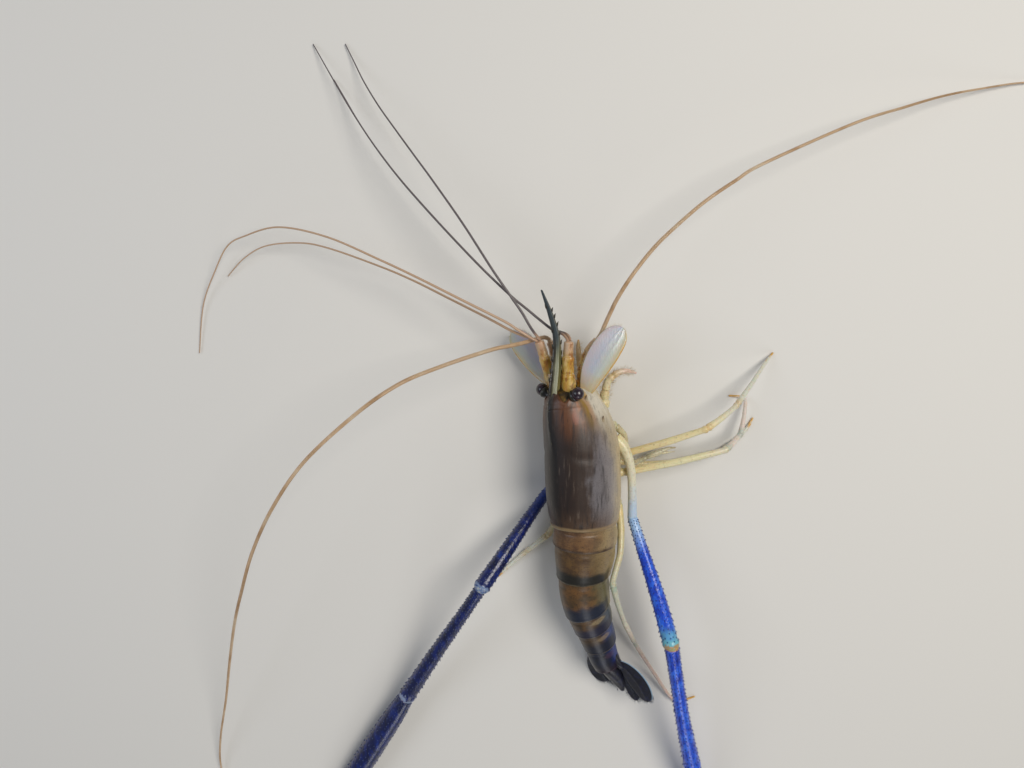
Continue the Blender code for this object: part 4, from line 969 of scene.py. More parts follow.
def makeAmberChitin():
    # half-clear amber chitin of the feelers' bases, with orange and brown blotches
    made, add = newMaterial(
        "amberChitin", Roughness=0.32, IOR=1.5, Coat_Weight=0.35, Coat_Roughness=0.15,
        Subsurface_Weight=0.15, Subsurface_Scale=0.002)
    spots, along, _ = bodyPlaces(add)
    cloud = add("TexNoise", add("Mapping", spots, (1, 0.4, 1)), grain(3.6), 4)
    patches = add("TexNoise", add("Mapping", spots, (1, 0.5, 1)), grain(2.4), 3)
    specks = add("TexNoise", spots, grain(0.6), 2, 0.7)
    tone = coated(
        add, add("ValToRGB", cloud, stops=[
            (0.26, "#8a5a1c"), (0.38, "#b37f2a"), (0.5, "#c39c46"), (0.62, "#d3b673"), (0.74, "#c8ae80"),
        ]),
        (add("MapRange", shifted(add, along, cloud, 0.3), 0.6, 0.9, 0.0, 0.8), "#c3a48c"),
        (add("MapRange", patches, 0.52, 0.64, 0.0, 0.75), "#8a521a"),
        (add("MapRange", specks, 0.58, 0.7, 0.0, 0.4), "#5f3512"),
    )
    return finished(made, add, tone, add("TexNoise", spots, grain(0.6), 2), 0.1)


def makeScaleChitin():
    # the antennal scale: a thin milky plate, bluish inside, with a thick yellow outer rib
    made, add = newMaterial(
        "scaleChitin", Roughness=0.26, IOR=1.5, Coat_Weight=0.6, Coat_Roughness=0.12,
        Transmission_Weight=0.15, Subsurface_Weight=0.25, Subsurface_Scale=0.003)
    spots, along, down = bodyPlaces(add)
    cloud = add("TexNoise", spots, grain(5), 3)
    plate = add("ValToRGB", shifted(add, down, cloud, 0.16), stops=[
        (0.0, "#c8922e"), (0.1, "#d2a856"), (0.18, "#c9c4a4"), (0.36, "#bfc8c2"), (0.58, "#b6bcc8"),
        (0.78, "#bfbac0"), (1.0, "#b9b2a6"),
    ])
    root = add("MapRange", shifted(add, along, cloud, 0.2), 0.05, 0.4, 0.8, 0.0)
    veins = add("TexNoise", add("Mapping", spots, (1.6, 0.25, 1.6)), grain(0.8), 3)
    return finished(made, add, coated(add, plate, (root, "#d0ae62")), veins, 0.15)


def jointedLine(line, joints, swell, pinch):
    # a tube line with a flared rim and a pinch at each joint; joints are shares of the length
    lengths = runLengths(line)
    rows = max(40, int(lengths[-1] / 0.45))
    made = []
    for step in range(rows + 1):
        want = lengths[-1] * step / rows
        place, radius = spotOn(line, lengths, want)
        for joint in joints:
            off = want - joint * lengths[-1]
            rims = bump(off, -1.3, 1.0) + 0.5 * bump(off, 1.6, 1.0)
            radius *= 1 + swell * rims - pinch * bump(off, 0.15, 0.5)
        made.append((place, radius))
    return made


def makeHeadLimbs(bristle, amber):
    scaleChitin = makeScaleChitin()
    setae = makeSetae("scaleSetae", "#a08f6c", "#d2c6a8")
    for name, sign in (("left", -1), ("right", 1)):
        route = headLimbs["antennule"][name]
        line = jointedLine([(Vector(row[:3]), row[3]) for row in route], [0.4, 0.74], 0.06, 0.1)
        wide = tuple(bodyFrame(15)[3])
        base = ringSkin("antennuleStem_" + name, tubeRings(line, 44, 0.85, wide), 0.4, 0.9)
        # the leaf-like outer guard of the first joint
        guard = []
        for y, out in ((4.5, 2.1), (9, 2.9), (13.5, 2.9), (17.2, 2.0)):
            near = min((place for place, _ in line), key=lambda place: abs(place.y - y))
            guard.append(tuple(near + bodyFrame(y)[2] * out * sign))
        rings, _ = bladeRings(guard, [1.2, 2.6, 2.2, 0.3], tuple(bodyFrame(8)[2]), 0.8, 30, [])
        leaf = ringSkin("guard_" + name, rings, 0.2, 0.2)
        stem = joinPieces("antennuleStem_" + name, [base, leaf])
        dress(stem, amber, "amber_head_parts", "antennule_base_" + name)

        route = sampled(headLimbs["antenna"][name], 40)
        line = jointedLine(route, headLimbs["antennaJoints"][1:-1], 0.09, 0.13)
        base = ringSkin("antennaStem_" + name, tubeRings(line, 44), 0.4, 0.8)
        dress(base, amber, "amber_head_parts", "antenna_base_" + name)

        shape = headLimbs["scale"][name]
        # the thick outer rib ends in a short tooth before the rounded tip
        outward = 1 if name == "right" else -1
        ribs = [(outward * 0.9, 0.1, 0.7), (outward * 0.35, 0.05, 0.18), (outward * -0.1, 0.05, 0.12)]
        rings, edges = bladeRings(shape["route"], headLimbs["scaleWidths"], shape["side"], 0.75, 90, ribs, 72)
        if name == "left":
            rings = [ring[36:] + ring[:36] for ring in rings]
        plate = ringSkin("scalePlate_" + name, rings, 0.3, 0.25)
        dress(plate, scaleChitin, "antennal_scale", "antennal_scale_" + name)
        fringeOf("scaleFringe_%s_in" % name, edges, setae, "antennal_scale", bristle, 2.0, -outward, 0.2, 0.36)
        fringeOf("scaleFringe_%s_out" % name, edges, setae, "antennal_scale", bristle, 1.6, outward, 0.9, 0.36)


# the lashes, root to tip: X, Y, height and half thickness
lashes = {
    "antenna_left": [
        (-14.8, 31.02, 27.72, 1.2), (-15.7, 32.7, 28.2, 1.15), (-17.8, 33.6, 28.9, 1.15),
        (-21, 33.2, 29.8, 1.15), (-25, 32.2, 31.1, 1.15), (-30, 31.0, 33.4, 1.2), (-37, 29.8, 37, 1.15),
        (-48.5, 27.8, 42, 1.15),
        (-74.4, 20.1, 52, 1.1), (-95, 12.1, 60, 1.1),
        (-116, -2, 66, 1.05), (-143.2, -26.7, 68, 1.0), (-161.8, -52.5, 66, 1.0),
        (-175.9, -79.4, 60, 0.95), (-186.7, -107.2, 51, 0.9), (-194.7, -129.1, 42, 0.85),
        (-203.5, -158.7, 30, 0.8), (-212, -190.6, 18, 0.7), (-221, -223.5, 8, 0.6),
        (-224, -248, 2.5, 0.5), (-218, -270, 0.8, 0.4), (-206, -289, 0.6, 0.3),
    ],
    "antenna_right": [
        (10.95, 32.7, 32.25, 1.25), (13.0, 36.0, 32.3, 1.2), (15, 41, 33, 1.2),
        (17.8, 48, 34.6, 1.15), (21.2, 55.6, 36.2, 1.15),
        (28.5, 67.5, 36.5, 1.1), (39.2, 81.4, 36, 1.1), (49.8, 92, 35, 1.05), (66.7, 106.5, 33, 1.0),
        (84.1, 118.3, 31, 0.95), (98.4, 126.9, 29, 0.9), (148.6, 148.9, 21, 0.8),
        (178.8, 158.7, 15, 0.75), (204, 166.1, 9, 0.65), (228, 171, 4.5, 0.55),
        (251.1, 174.6, 1.6, 0.45), (276, 175, 0.8, 0.35), (300, 170, 0.6, 0.3),
    ],
    "antennule_left_outer": [
        (-22.15, 32.1, 35.45, 0.8), (-26.7, 34.6, 36.2, 0.78), (-33, 38.6, 36.6, 0.76),
        (-40.3, 43.2, 36.8, 0.72), (-62.5, 54.4, 37, 0.7), (-86.7, 66.5, 36, 0.65), (-107.5, 76.1, 33, 0.6),
        (-137.2, 88.5, 27, 0.55), (-165.5, 94.1, 20, 0.5), (-187.2, 89.4, 13, 0.45),
        (-198.2, 83.9, 10, 0.42), (-207.3, 70.4, 6, 0.4), (-217.1, 50.2, 2, 0.35),
        (-221.7, 22, 0.6, 0.3),
    ],
    "antennule_left_inner": [
        (-22.1, 32.3, 33.5, 0.8), (-26.4, 33.9, 33.7, 0.78), (-35.4, 37.2, 33, 0.75),
        (-49.2, 44.5, 32, 0.7), (-70.6, 55.2, 30, 0.65),
        (-90.3, 64.8, 27, 0.6), (-108.6, 72.4, 24.5, 0.55), (-137.4, 82.3, 19, 0.5),
        (-155, 85.6, 14, 0.45), (-176.2, 84.2, 8.5, 0.4), (-190.7, 77.3, 4.5, 0.35),
        (-201.8, 67.1, 0.9, 0.3),
    ],
    "antennule_left_third": [
        (-20.4, 32.5, 35.1, 0.78), (-22.0, 34.6, 36.4, 0.78), (-24.2, 37.4, 37.8, 0.76),
        (-26.6, 41.1, 38.8, 0.75), (-30.8, 48.3, 39.2, 0.73), (-36.9, 57.1, 39.2, 0.7),
        (-46.7, 71.2, 38, 0.66),
        (-62.3, 95.2, 34, 0.6), (-78.5, 118, 29, 0.55), (-89.0, 132.1, 25, 0.5), (-99.7, 146.5, 19.5, 0.45),
        (-109.5, 160, 13.5, 0.42), (-118, 173.5, 7.5, 0.38), (-124, 185, 2.9, 0.34), (-129, 195, 0.8, 0.3),
    ],
    "antennule_right_outer": [
        (-5.9, 32.7, 41.4, 0.8), (-6.5, 34.4, 40.2, 0.78), (-8.4, 36.2, 38.0, 0.77),
        (-11, 37.4, 36.9, 0.76), (-14.2, 38.8, 36.5, 0.75), (-20.5, 43.6, 36.3, 0.73), (-28.0, 49.8, 36, 0.7),
        (-36.3, 56.6, 35.5, 0.68), (-51.7, 71.1, 35, 0.64), (-68.9, 88.8, 33, 0.6),
        (-86.3, 107.5, 29, 0.55), (-99.5, 122.7, 25, 0.5), (-112, 139, 20, 0.45), (-124.9, 158, 13, 0.4),
        (-136.2, 176.7, 7, 0.36), (-147, 195, 0.8, 0.3),
    ],
    "antennule_right_inner": [
        (-4.5, 32.8, 39.9, 0.78), (-4.9, 34.6, 38.8, 0.77), (-6.4, 36.2, 36.2, 0.76),
        (-9.6, 37.2, 34.2, 0.75), (-14.0, 38.5, 33.5, 0.74), (-20.4, 43.4, 33.3, 0.72), (-27.9, 49.6, 33, 0.7),
        (-36.3, 56.4, 32.6, 0.67), (-51.8, 71.1, 32, 0.63), (-69.1, 88.9, 29.6, 0.58),
        (-86.6, 107.8, 25.6, 0.53), (-99.9, 123, 21, 0.48), (-112.6, 139.4, 15.4, 0.44),
        (-122, 153, 9.5, 0.4), (-130, 166, 3.8, 0.36), (-136, 176, 0.8, 0.3),
    ],
}
lashLengths = {"antenna_left": 3, "antenna_right": 3}


def makeLashHorn():
    # tan horn of the lashes, with rings too fine to tell apart
    made, add = newMaterial("lashHorn", Roughness=0.42, IOR=1.5, Coat_Weight=0.2)
    spots, along, _ = bodyPlaces(add)
    cloud = add("TexNoise", spots, grain(14), 3)
    tone = add("ValToRGB", cloud, stops=[(0.3, "#b8926a"), (0.5, "#d2b18c"), (0.7, "#dfc8a8")])
    rings = add("TexWave", add("CombineXYZ", along), 20.0)
    ringed = coated(add, tone, (add("MapRange", rings, 0.75, 1.0, 0.0, 0.3), "#8a6a48"))
    return finished(made, add, ringed, rings, 0.08)


def makeFineLashHorn(name, root, tip):
    # the thin lashes of the antennules, nearly black or tan, and tan at the root
    made, add = newMaterial(name, Roughness=0.4, IOR=1.5, Coat_Weight=0.2)
    spots, along, _ = bodyPlaces(add)
    far = add("MULTIPLY_ADD", add("TexNoise", spots, grain(6)), 0.3, add("MULTIPLY", along, 0.02))
    tone = add("ValToRGB", far, stops=[(0.05, root), (0.35, tip)])
    rooted = coated(add, tone, (add("MapRange", along, 3.5, 9.0, 0.9, 0.0), "#b08d72"))
    return finished(made, add, rooted, add("TexNoise", spots, grain(0.5)), 0.05)


def cutLine(line, start, end):
    # the stretch of a line between two lengths along it
    lengths = runLengths(line)
    inner = [pair for pair, length in zip(line, lengths) if start + 0.3 < length < end - 0.3]
    return [spotOn(line, lengths, start)] + inner + [spotOn(line, lengths, end)]


def makeLashes():
    horn = makeLashHorn()
    dark = makeFineLashHorn("darkLashHorn", "#3e383a", "#5c5455")
    tan = makeFineLashHorn("tanLashHorn", "#8f7052", "#b8997c")
    for name, route in lashes.items():
        parts = lashLengths.get(name, 1)
        line = sampled(route, 900 if parts > 1 else 420)
        total = runLengths(line)[-1]
        for number in range(parts):
            piece = cutLine(line, total * number / parts, total * (number + 1) / parts)
            # one unit of the map for every 0.9 mm
            marks = [length / 0.9 for length in runLengths(piece)]
            rings = tubeRings(piece, 16 if parts > 1 else 10)
            label = "%s_%d" % (name, number + 1) if parts > 1 else name
            lash = ringSkin("lash_" + label, rings, 0.0, 0.0 if number < parts - 1 else 0.6, marks, 3)
            finish = horn if parts > 1 else (dark if "right" in name or "third" in name else tan)
            dress(lash, finish, "feeler", label)


# the walking legs and the leg-like jaws, root to tip, with the joints as numbers of rows
legs = {
    "leg_3_right": [
        (21.5, -36, 17, 2.7), (30, -35.8, 15.9, 2.2), (38, -32.8, 19, 2.1), (53, -26.5, 25.8, 2.1),
        (71, -19, 30.5, 1.8), (74, -17.8, 30.5, 2.1), (83, -12.5, 27, 1.7), (91.5, -7.2, 22, 1.5),
        (93.5, -5.6, 20.5, 1.7), (104, 5.6, 12.5, 1.2), (113.4, 16, 4.6, 1.0), (119, 21.5, 0.35, 0.5),
    ],
    "leg_4_right": [
        (22, -47, 18, 2.7), (32, -46.4, 17.4, 2.2), (44, -43.2, 20, 2.1), (60, -39, 23, 2.1),
        (84.5, -32.5, 24, 1.8), (88, -31.2, 23, 2.0), (92.5, -29, 18.5, 1.6), (97, -26.2, 13.5, 1.5),
        (98.6, -24.8, 12.4, 1.6), (101.5, -15.5, 8, 1.2), (103.2, -7, 3.6, 1.0), (101, -4.6, 1.6, 0.8),
        (94.5, -4.2, 0.35, 0.5),
    ],
    "leg_5_right": [
        (21.5, -57, 17.5, 2.6), (26.6, -65, 19.5, 2.2), (27.9, -80, 23.2, 2.1), (27.0, -93, 28.0, 1.9),
        (22.6, -107, 32.5, 1.7), (22.8, -111, 32.3, 1.9), (26.6, -125, 26.5, 1.6),
        (31.6, -139.5, 18.5, 1.5), (33.2, -143, 17, 1.7), (39.2, -156, 12.5, 1.3), (47.2, -170, 9, 1.2),
        (54.8, -182.5, 6, 1.1), (63.7, -197, 3, 1.0), (70.5, -202.8, 1.4, 0.8), (80.5, -199.5, 0.35, 0.5),
    ],
    "leg_3_left": [
        (12.5, -37.5, 7.6, 2.6), (23, -42.5, 5.2, 2.3), (45, -45.5, 4.0, 2.0), (62, -44.6, 3.4, 1.8),
        (66, -44, 3.2, 2.0), (78, -41, 2.8, 1.7), (89, -38, 2.3, 1.5), (91.5, -37, 2.1, 1.7),
        (100, -30.5, 1.6, 1.2), (106, -23.5, 1.0, 1.0), (109, -18, 0.35, 0.5),
    ],
    "leg_4_left": [
        (10.6, -47, 7.2, 2.5), (3, -59, 4.4, 2.2), (-4, -73, 3.6, 2.0), (-12.5, -88, 3.4, 1.8),
        (-14.5, -90.6, 3.2, 2.0), (-20, -95.5, 2.8, 1.6), (-25.5, -100, 2.4, 1.5),
        (-27.5, -101.6, 2.2, 1.6), (-34.8, -108.3, 1.5, 1.2), (-40, -113.2, 0.9, 1.0),
        (-44, -118, 0.35, 0.5),
    ],
    "leg_5_left": [
        (11.4, -58, 7.4, 2.5), (9, -68, 4.4, 2.2), (6, -84, 3.6, 2.0), (4, -100, 3.2, 1.8),
        (4.2, -103, 3.0, 2.0), (5.6, -112, 2.7, 1.6), (7.4, -120.5, 2.4, 1.5), (7.8, -123, 2.2, 1.7),
        (10.5, -137, 1.5, 1.2), (14, -149, 0.9, 1.0), (17, -155.5, 0.35, 0.5),
    ],
    "leg_1_right": [
        (17.5, -16, 22.5, 2.3), (24, -19, 17.6, 2.1), (29.6, -25, 14.6, 1.9), (32, -36, 10.6, 1.7),
        (34.5, -43.5, 9.4, 1.7), (38.2, -42.5, 9.8, 1.6), (43.5, -39.9, 10.4, 1.3),
        (47.5, -38, 10.4, 1.9), (51.5, -36.4, 10.2, 1.8), (57, -34.2, 9.6, 0.9), (61, -34.0, 9.2, 0.4),
    ],
    "leg_1_left": [
        (10, -16, 14.5, 2.3), (8.8, -13.5, 8.6, 2.1), (5, -8, 5, 1.9), (-2, 2, 3.8, 1.7),
        (-9.5, 9.5, 3, 1.6), (-12, 11.5, 3, 1.7), (-18.5, 18, 2.8, 1.3), (-23.5, 23, 2.7, 1.8),
        (-27.8, 27.2, 1.6, 1.7), (-33, 32, 0.8, 0.9), (-36, 34.6, 0.35, 0.5),
    ],
    "maxilliped_right": [
        (16, -6, 22.5, 2.8), (17, 3, 24.6, 2.4), (18.2, 8.6, 25.4, 2.2), (21, 11.6, 25.8, 2.0),
        (25, 14, 25.8, 1.8), (30, 14.2, 25, 1.3), (34, 13, 24, 0.6),
    ],
    "maxilliped_left": [
        (6.5, -5, 18.5, 2.7), (6.4, -1, 11.4, 2.5), (5.6, 6, 8.4, 2.2), (4.2, 14, 7.2, 2.0),
        (3.4, 20, 6, 1.8), (3, 26, 5, 1.3), (3, 29.5, 4.4, 0.6),
    ],
}
legJoints = {
    "leg_3_right": [1, 5, 8], "leg_4_right": [1, 5, 8], "leg_5_right": [1, 5, 9], "leg_3_left": [1, 4, 7],
    "leg_4_left": [1, 4, 7], "leg_5_left": [1, 4, 7], "leg_1_right": [1, 4, 6], "leg_1_left": [1, 5, 7],
    "maxilliped_right": [1, 3], "maxilliped_left": [1, 3],
}
legKinds = {
    "leg_1_right": "spotted", "leg_1_left": "spotted", "leg_4_right": "knee", "leg_5_right": "rear",
    "maxilliped_right": "jaw", "maxilliped_left": "jawAmber",
}
legHair = {"count": 130, "length": 1.5}
smallFingers = {
    "leg_1_right": ((51.8, -37.1, 10.3), (60.5, -36.4, 9.5)),
    "leg_1_left": ((-28.9, 26.8, 1.9), (-37.6, 31.6, 1.1)),
}


def makeLegChitin(name, root, middle, end, spotted, joint="#c9a050", claw="#d0a04a", reach=(0.42, 0.7)):
    # cream chitin of the thin legs, amber or teal at the joints and amber at the claw
    made, add = newMaterial(
        name, Roughness=0.34, IOR=1.5, Coat_Weight=0.3, Coat_Roughness=0.16,
        Subsurface_Weight=0.15, Subsurface_Scale=0.002)
    spots, along, _ = bodyPlaces(add)
    cloud = add("TexNoise", spots, grain(4), 3)
    streaks = add("TexNoise", spots, grain(1.6), 4, 0.65)
    specks = add("TexNoise", spots, grain(1.0), 2, 0.7)
    knuckle = add("Attribute", attribute_name="knuckle")
    tone = coated(
        add, add("ValToRGB", shifted(add, along, cloud, 0.24), stops=[
            (0.0, root), (reach[0], middle), (reach[1], end), (0.93, end), (0.98, claw),
        ]),
        (add("MULTIPLY", knuckle, add("MapRange", cloud, 0.3, 0.6, 0.15, 0.55)), joint),
        (add("MapRange", streaks, 0.52, 0.7, 0.0, 0.4), "#a98f5c"),
        (add("MapRange", specks, 0.62 - spotted, 0.69, 0.0, 0.4 + spotted * 3), "#5d4e34"),
    )
    return finished(made, add, tone, add("TexNoise", spots, grain(0.6), 2), 0.09)


def markKnuckles(piece, joints, reach=2.0):
    # an attribute that is 1 at the joints and fades to 0 along the limb
    spots = pointsOf(piece.data)
    gaps = [numpy.linalg.norm(spots - numpy.array(toModel(place)), axis=1) for place in joints]
    near = numpy.min(gaps, axis=0)
    layer = piece.data.attributes.new("knuckle", "FLOAT", "POINT")
    layer.data.foreach_set("value", numpy.clip(1.6 - near / (reach * mm * 1.5), 0, 1))


def makeLegs():
    finishes = {
        "cream": makeLegChitin("creamLegChitin", "#e6d096", "#e2d4a4", "#d2d3c2", 0.0),
        "knee": makeLegChitin("kneeLegChitin", "#e6d29a", "#dcd6ac", "#dccfc4", 0.0, "#86a89e"),
        "rear": makeLegChitin("rearLegChitin", "#e0cc8e", "#bfc2ae", "#d6bfb0", 0.02, "#78a298"),
        "spotted": makeLegChitin(
            "spottedLegChitin", "#d3c9a0", "#c9c09a", "#c2bb9e", 0.07, "#77765c", "#a39a78"),
        "jaw": makeLegChitin(
            "jawChitin", "#dccf9e", "#dcd2b0", "#dcc0ae", 0.02, claw="#d29a8e", reach=(0.5, 0.85)),
        "jawAmber": makeLegChitin("amberJawChitin", "#b98a3a", "#c39a4c", "#c2a06a", 0.03),
    }
    hair = taperTemplate("hairShape", 3, 0.15, rows=1)
    legSetae = makeSetae("legSetae", "#b8a274", "#d8cba8")
    for name, route in legs.items():
        line = [(Vector(row[:3]), row[3]) for row in route]
        lengths = runLengths(line)
        smooth = []
        for index in range(len(route) - 1):
            for step in range(8):
                row = curveAt(route, (index + step / 8) / (len(route) - 1))
                straight = line[index][0].lerp(line[index + 1][0], step / 8)
                # keeps the stretches nearly straight, so that the joints stay angular
                smooth.append((straight.lerp(Vector(row[:3]), 0.45), row[3]))
        smooth.append(line[-1])
        joints = [lengths[number] / lengths[-1] for number in legJoints[name]]
        made = jointedLine(smooth, joints, 0.13, 0.22)
        # the two short, thick joints that set the limb on the body
        stride = lengths[-1] / (len(made) - 1)
        for index, (place, radius) in enumerate(made[:int(10 / stride)]):
            run = index * stride
            radius *= 1 + 0.24 * (1 - blendStep(3.2, 4.2, run)) + 0.1 * (1 - blendStep(7, 8, run))
            radius *= 1 - 0.15 * bump(run, 4.1, 0.5) - 0.12 * bump(run, 7.9, 0.5)
            made[index] = (place, radius)
        made = [(Vector((place.x, place.y, max(place.z, radius + 0.02))), radius) for place, radius in made]
        pieces = [ringSkin("limb_" + name, tubeRings(made, 24), 0.3, 0.5)]
        if name in smallFingers:
            root, tip = (Vector(place) for place in smallFingers[name])
            finger = [(root.lerp(tip, step / 20), 0.95 * (1 - 0.72 * step / 20)) for step in range(21)]
            pieces.append(ringSkin("finger_" + name, tubeRings(finger, 16), 0.2, 0.4))
        whole = joinPieces("limb_" + name, pieces)
        markKnuckles(whole, [line[number][0] for number in legJoints[name]])
        dress(whole, finishes[legKinds.get(name, "cream")], "pale_limb", name)
        bristles = []
        marks = []
        jaw = "maxilliped" in name
        for number in range(legHair["count"] * (4 if jaw else 1)):
            spot = random.uniform(0.15, 0.97)
            index = int(spot * (len(made) - 2)) + 1
            place, radius = made[index]
            along, out = outFrom(made, index)
            size = legHair["length"] * random.uniform(0.5, 1.1) * (1.7 if jaw else 1)
            if (place + out * (radius + size)).z < 0.3:
                continue
            lean = out + along * random.uniform(0.6, 1.4)
            bristles.append(standing(place + out * radius * 0.9, lean, size, 0.05))
            marks.append((spot, number % 10 / 10))
        dress(scatterCopies("limbHair_" + name, hair, bristles, marks), legSetae, "pale_limb")
    bpy.data.objects.remove(hair)


# the two big blue arms, root to tip
arms = {
    "velvet": 2600,
    "right": {
        "ischium": [
            (23.5, -26, 20.5, 4.2), (28.6, -31, 21.5, 3.4), (32.6, -42, 23, 2.6),
            (33.8, -57, 23.6, 2.5), (34.1, -72.1, 24.1, 2.8),
        ],
        "merus": [
            (34.1, -72.1, 24.1, 2.8), (40.5, -92, 28, 3.4), (49, -118, 33, 4.3),
            (56.8, -145.6, 37.3, 4.8),
        ],
        "carpus": [
            (56.8, -145.6, 37.3, 4.1), (60.7, -166, 34.5, 3.9), (67.2, -198, 28, 4.2),
            (76.4, -235.3, 19, 5.2),
        ],
        "palm": [
            (76.4, -235.3, 19, 4.6), (80.3, -252, 15.2, 6.2), (84, -285, 10.2, 7.1),
            (86.5, -322, 7.0, 6.9),
        ],
        "fixed": [
            (90.0, -318, 5.0, 3.6), (91.8, -338, 3.1, 3.2), (92.6, -360, 2.05, 2.2),
            (88.6, -381, 0.5, 0.7),
        ],
        "moving": [
            (82.5, -322.9, 5.2, 3.2), (81.0, -340, 3.2, 3.2), (81.6, -360, 2.1, 2.2),
            (84.6, -378, 0.6, 0.7),
        ],
    },
    "left": {
        "ischium": [
            (10.6, -27.5, 7.4, 3.4), (7, -33.5, 4.8, 2.7), (0, -43, 3.6, 2.5), (-7, -52.5, 3.7, 2.4),
            (-14.6, -62.3, 5.1, 2.8),
        ],
        "merus": [
            (-14.6, -62.3, 5.1, 2.8), (-26, -75.6, 14.6, 3.4), (-40, -92.5, 27.6, 4.2),
            (-54, -109.6, 38.6, 4.7),
        ],
        "carpus": [
            (-54, -109.6, 38.6, 3.3), (-64, -127, 33.4, 3.5), (-81, -156, 23.5, 4.2),
            (-101.7, -191.6, 14, 5.2),
        ],
        "palm": [
            (-101.7, -191.6, 14, 4.6), (-110.5, -206.6, 11.6, 6.2), (-128.5, -236, 8.6, 7.0),
            (-146.8, -267, 6.8, 6.8),
        ],
        "fixed": [
            (-148.0, -262.0, 5.0, 3.6), (-158.4, -280.2, 3.1, 3.2), (-169, -299.6, 2.05, 2.1),
            (-175.6, -319.2, 0.5, 0.7),
        ],
        "moving": [
            (-143.9, -269.6, 5.2, 3.1), (-150.0, -286.6, 3.2, 3.1), (-159.8, -304.6, 2.1, 2.1),
            (-171.6, -317.6, 0.6, 0.7),
        ],
    },
}
armChain = ["ischium", "merus", "carpus", "palm"]
armCounts = {"ischium": 8, "merus": 9, "carpus": 10, "palm": 10, "fixed": 9, "moving": 9}
# rows of spines round a segment, spines along a row, and the longest one
armSpines = {
    "merus": (12, 25, 1.15), "carpus": (13, 34, 1.25), "palm": (14, 32, 1.25),
    "fixed": (9, 24, 0.7), "moving": (9, 24, 0.7),
}


def makeArmChitin(name, tones, startTone, endTone, start, end, rimTone):
    # hard, grainy chitin of the arms: deep blue, paler in streaks, turquoise and tan at the joints; the left
    # arm's copies carry painted shade in their darker blues and painted glints at its joints
    made, add = newMaterial(name, Roughness=0.3, IOR=1.55, Coat_Weight=0.35, Coat_Roughness=0.18)
    spots, along, _ = bodyPlaces(add)
    streaks = add("TexNoise", add("Mapping", spots, (1, 0.45, 1)), grain(3.2), 5, 0.62, 0.5)
    pits = add("TexVoronoi", spots, grain(1.5))
    wander = shifted(add, along, add("TexNoise", spots, grain(3.5), 3), 0.1)
    tone = coated(
        add, add("ValToRGB", streaks, stops=list(zip((0.28, 0.44, 0.58, 0.76), tones))),
        (add("MapRange", pits, 0.1, 0.3, 0.7, 0.0), tones[0]),
        (add("MapRange", wander, start * 0.35, start, 0.95, 0.0), startTone),
        (add("MapRange", wander, 1 - end, 1 - end * 0.35, 0.0, 0.95), endTone),
        # a thin band at the segment's far end: the joint's own colour on the right arm, a painted glint on the
        # left merus and carpus
        (add("MapRange", shifted(add, wander, pits, 0.02), 0.93, 0.95, 0.0, 0.85), rimTone),
    )
    relief = add("MULTIPLY_ADD", add("TexNoise", spots, grain(0.7)), 0.5, pits)
    return finished(made, add, tone, relief, -0.18)


def makeJointSkin(name, *tones):
    # the soft skin that shows between two arm segments
    made, add = newMaterial(name, Roughness=0.45, IOR=1.45, Subsurface_Weight=0.2, Subsurface_Scale=0.002)
    spots = bodyPlaces(add)[0]
    cloud = add("TexNoise", spots, grain(1.8), 3)
    tone = add("ValToRGB", cloud, stops=list(zip((0.3, 0.46, 0.58, 0.74), tones)))
    return finished(made, add, tone, add("TexNoise", spots, grain(0.5), 3), 0.2)


def armLines(parts):
    lines = {part: sampled(route, armCounts[part]) for part, route in parts.items()}
    faces = {part: [None, None] for part in parts}
    for inner, outer in zip(armChain, armChain[1:]):
        arriving = (lines[inner][-1][0] - lines[inner][-2][0]).normalized()
        leaving = (lines[outer][1][0] - lines[outer][0][0]).normalized()
        faces[inner][1] = faces[outer][0] = (arriving + leaving).normalized()
    smooth = {part: sampled(route, 130 if part in armChain else 80) for part, route in parts.items()}
    return smooth, faces


def segmentLine(line, part):
    # rims and a waist that make each arm segment more than a plain tube
    made = []
    for index, (place, radius) in enumerate(line):
        at = index / (len(line) - 1)
        if part in ("merus", "carpus", "palm"):
            radius *= 1 + 0.06 * bump(at, 0.965, 0.018) - 0.04 * bump(at, 0.93, 0.02)
            radius *= 1 + 0.05 * bump(at, 0.03, 0.02) - 0.14 * bump(at, 0.0, 0.012) - 0.12 * bump(at, 1.0, 0.01)
        made.append((place, radius))
    return made


def spinesOn(line, rows, count, length, part):
    places = []
    marks = []
    for row in range(rows):
        for number in range(count):
            at = (number + 0.3 + 0.5 * (row % 2) + random.uniform(-0.3, 0.3)) / count
            if not 0.03 < at < 0.955 and part != "moving":
                continue
            spot = min(max(at, 0.02), 0.96) * (len(line) - 1)
            first = min(int(spot), len(line) - 2)
            (near, nearRadius), (far, farRadius) = line[first:first + 2]
            middle = near.lerp(far, spot - first)
            thick = nearRadius + (farRadius - nearRadius) * (spot - first)
            along = (far - near).normalized()
            side = along.cross(Vector((0, 0, 1))).normalized()
            turn = 2 * math.pi * (row + random.uniform(-0.22, 0.22)) / rows
            out = side * math.cos(turn) + along.cross(side) * math.sin(turn)
            # longest on the two edges and towards the hand
            size = length * (0.5 + 0.5 * abs(math.cos(turn)) ** 3) * (0.65 + 0.45 * at)
            size *= random.uniform(0.75, 1.15)
            place = middle + out * thick * 0.96
            if (place + out * size).z < 0.3:
                continue
            places.append(standing(place, out + along * 0.9, size + 0.3, 0.26 + 0.14 * size, along))
            marks.append((0.95 * at, 0.95 * row / rows))
    return places, marks


def meetingPlaces(lines):
    # where two segments of an arm meet: just before, the middle and just after
    return [
        (inner, lines[inner][-3], (lines[inner][-1][0] + lines[outer][0][0]) / 2, lines[outer][2])
        for inner, outer in zip(armChain, armChain[1:])
    ]


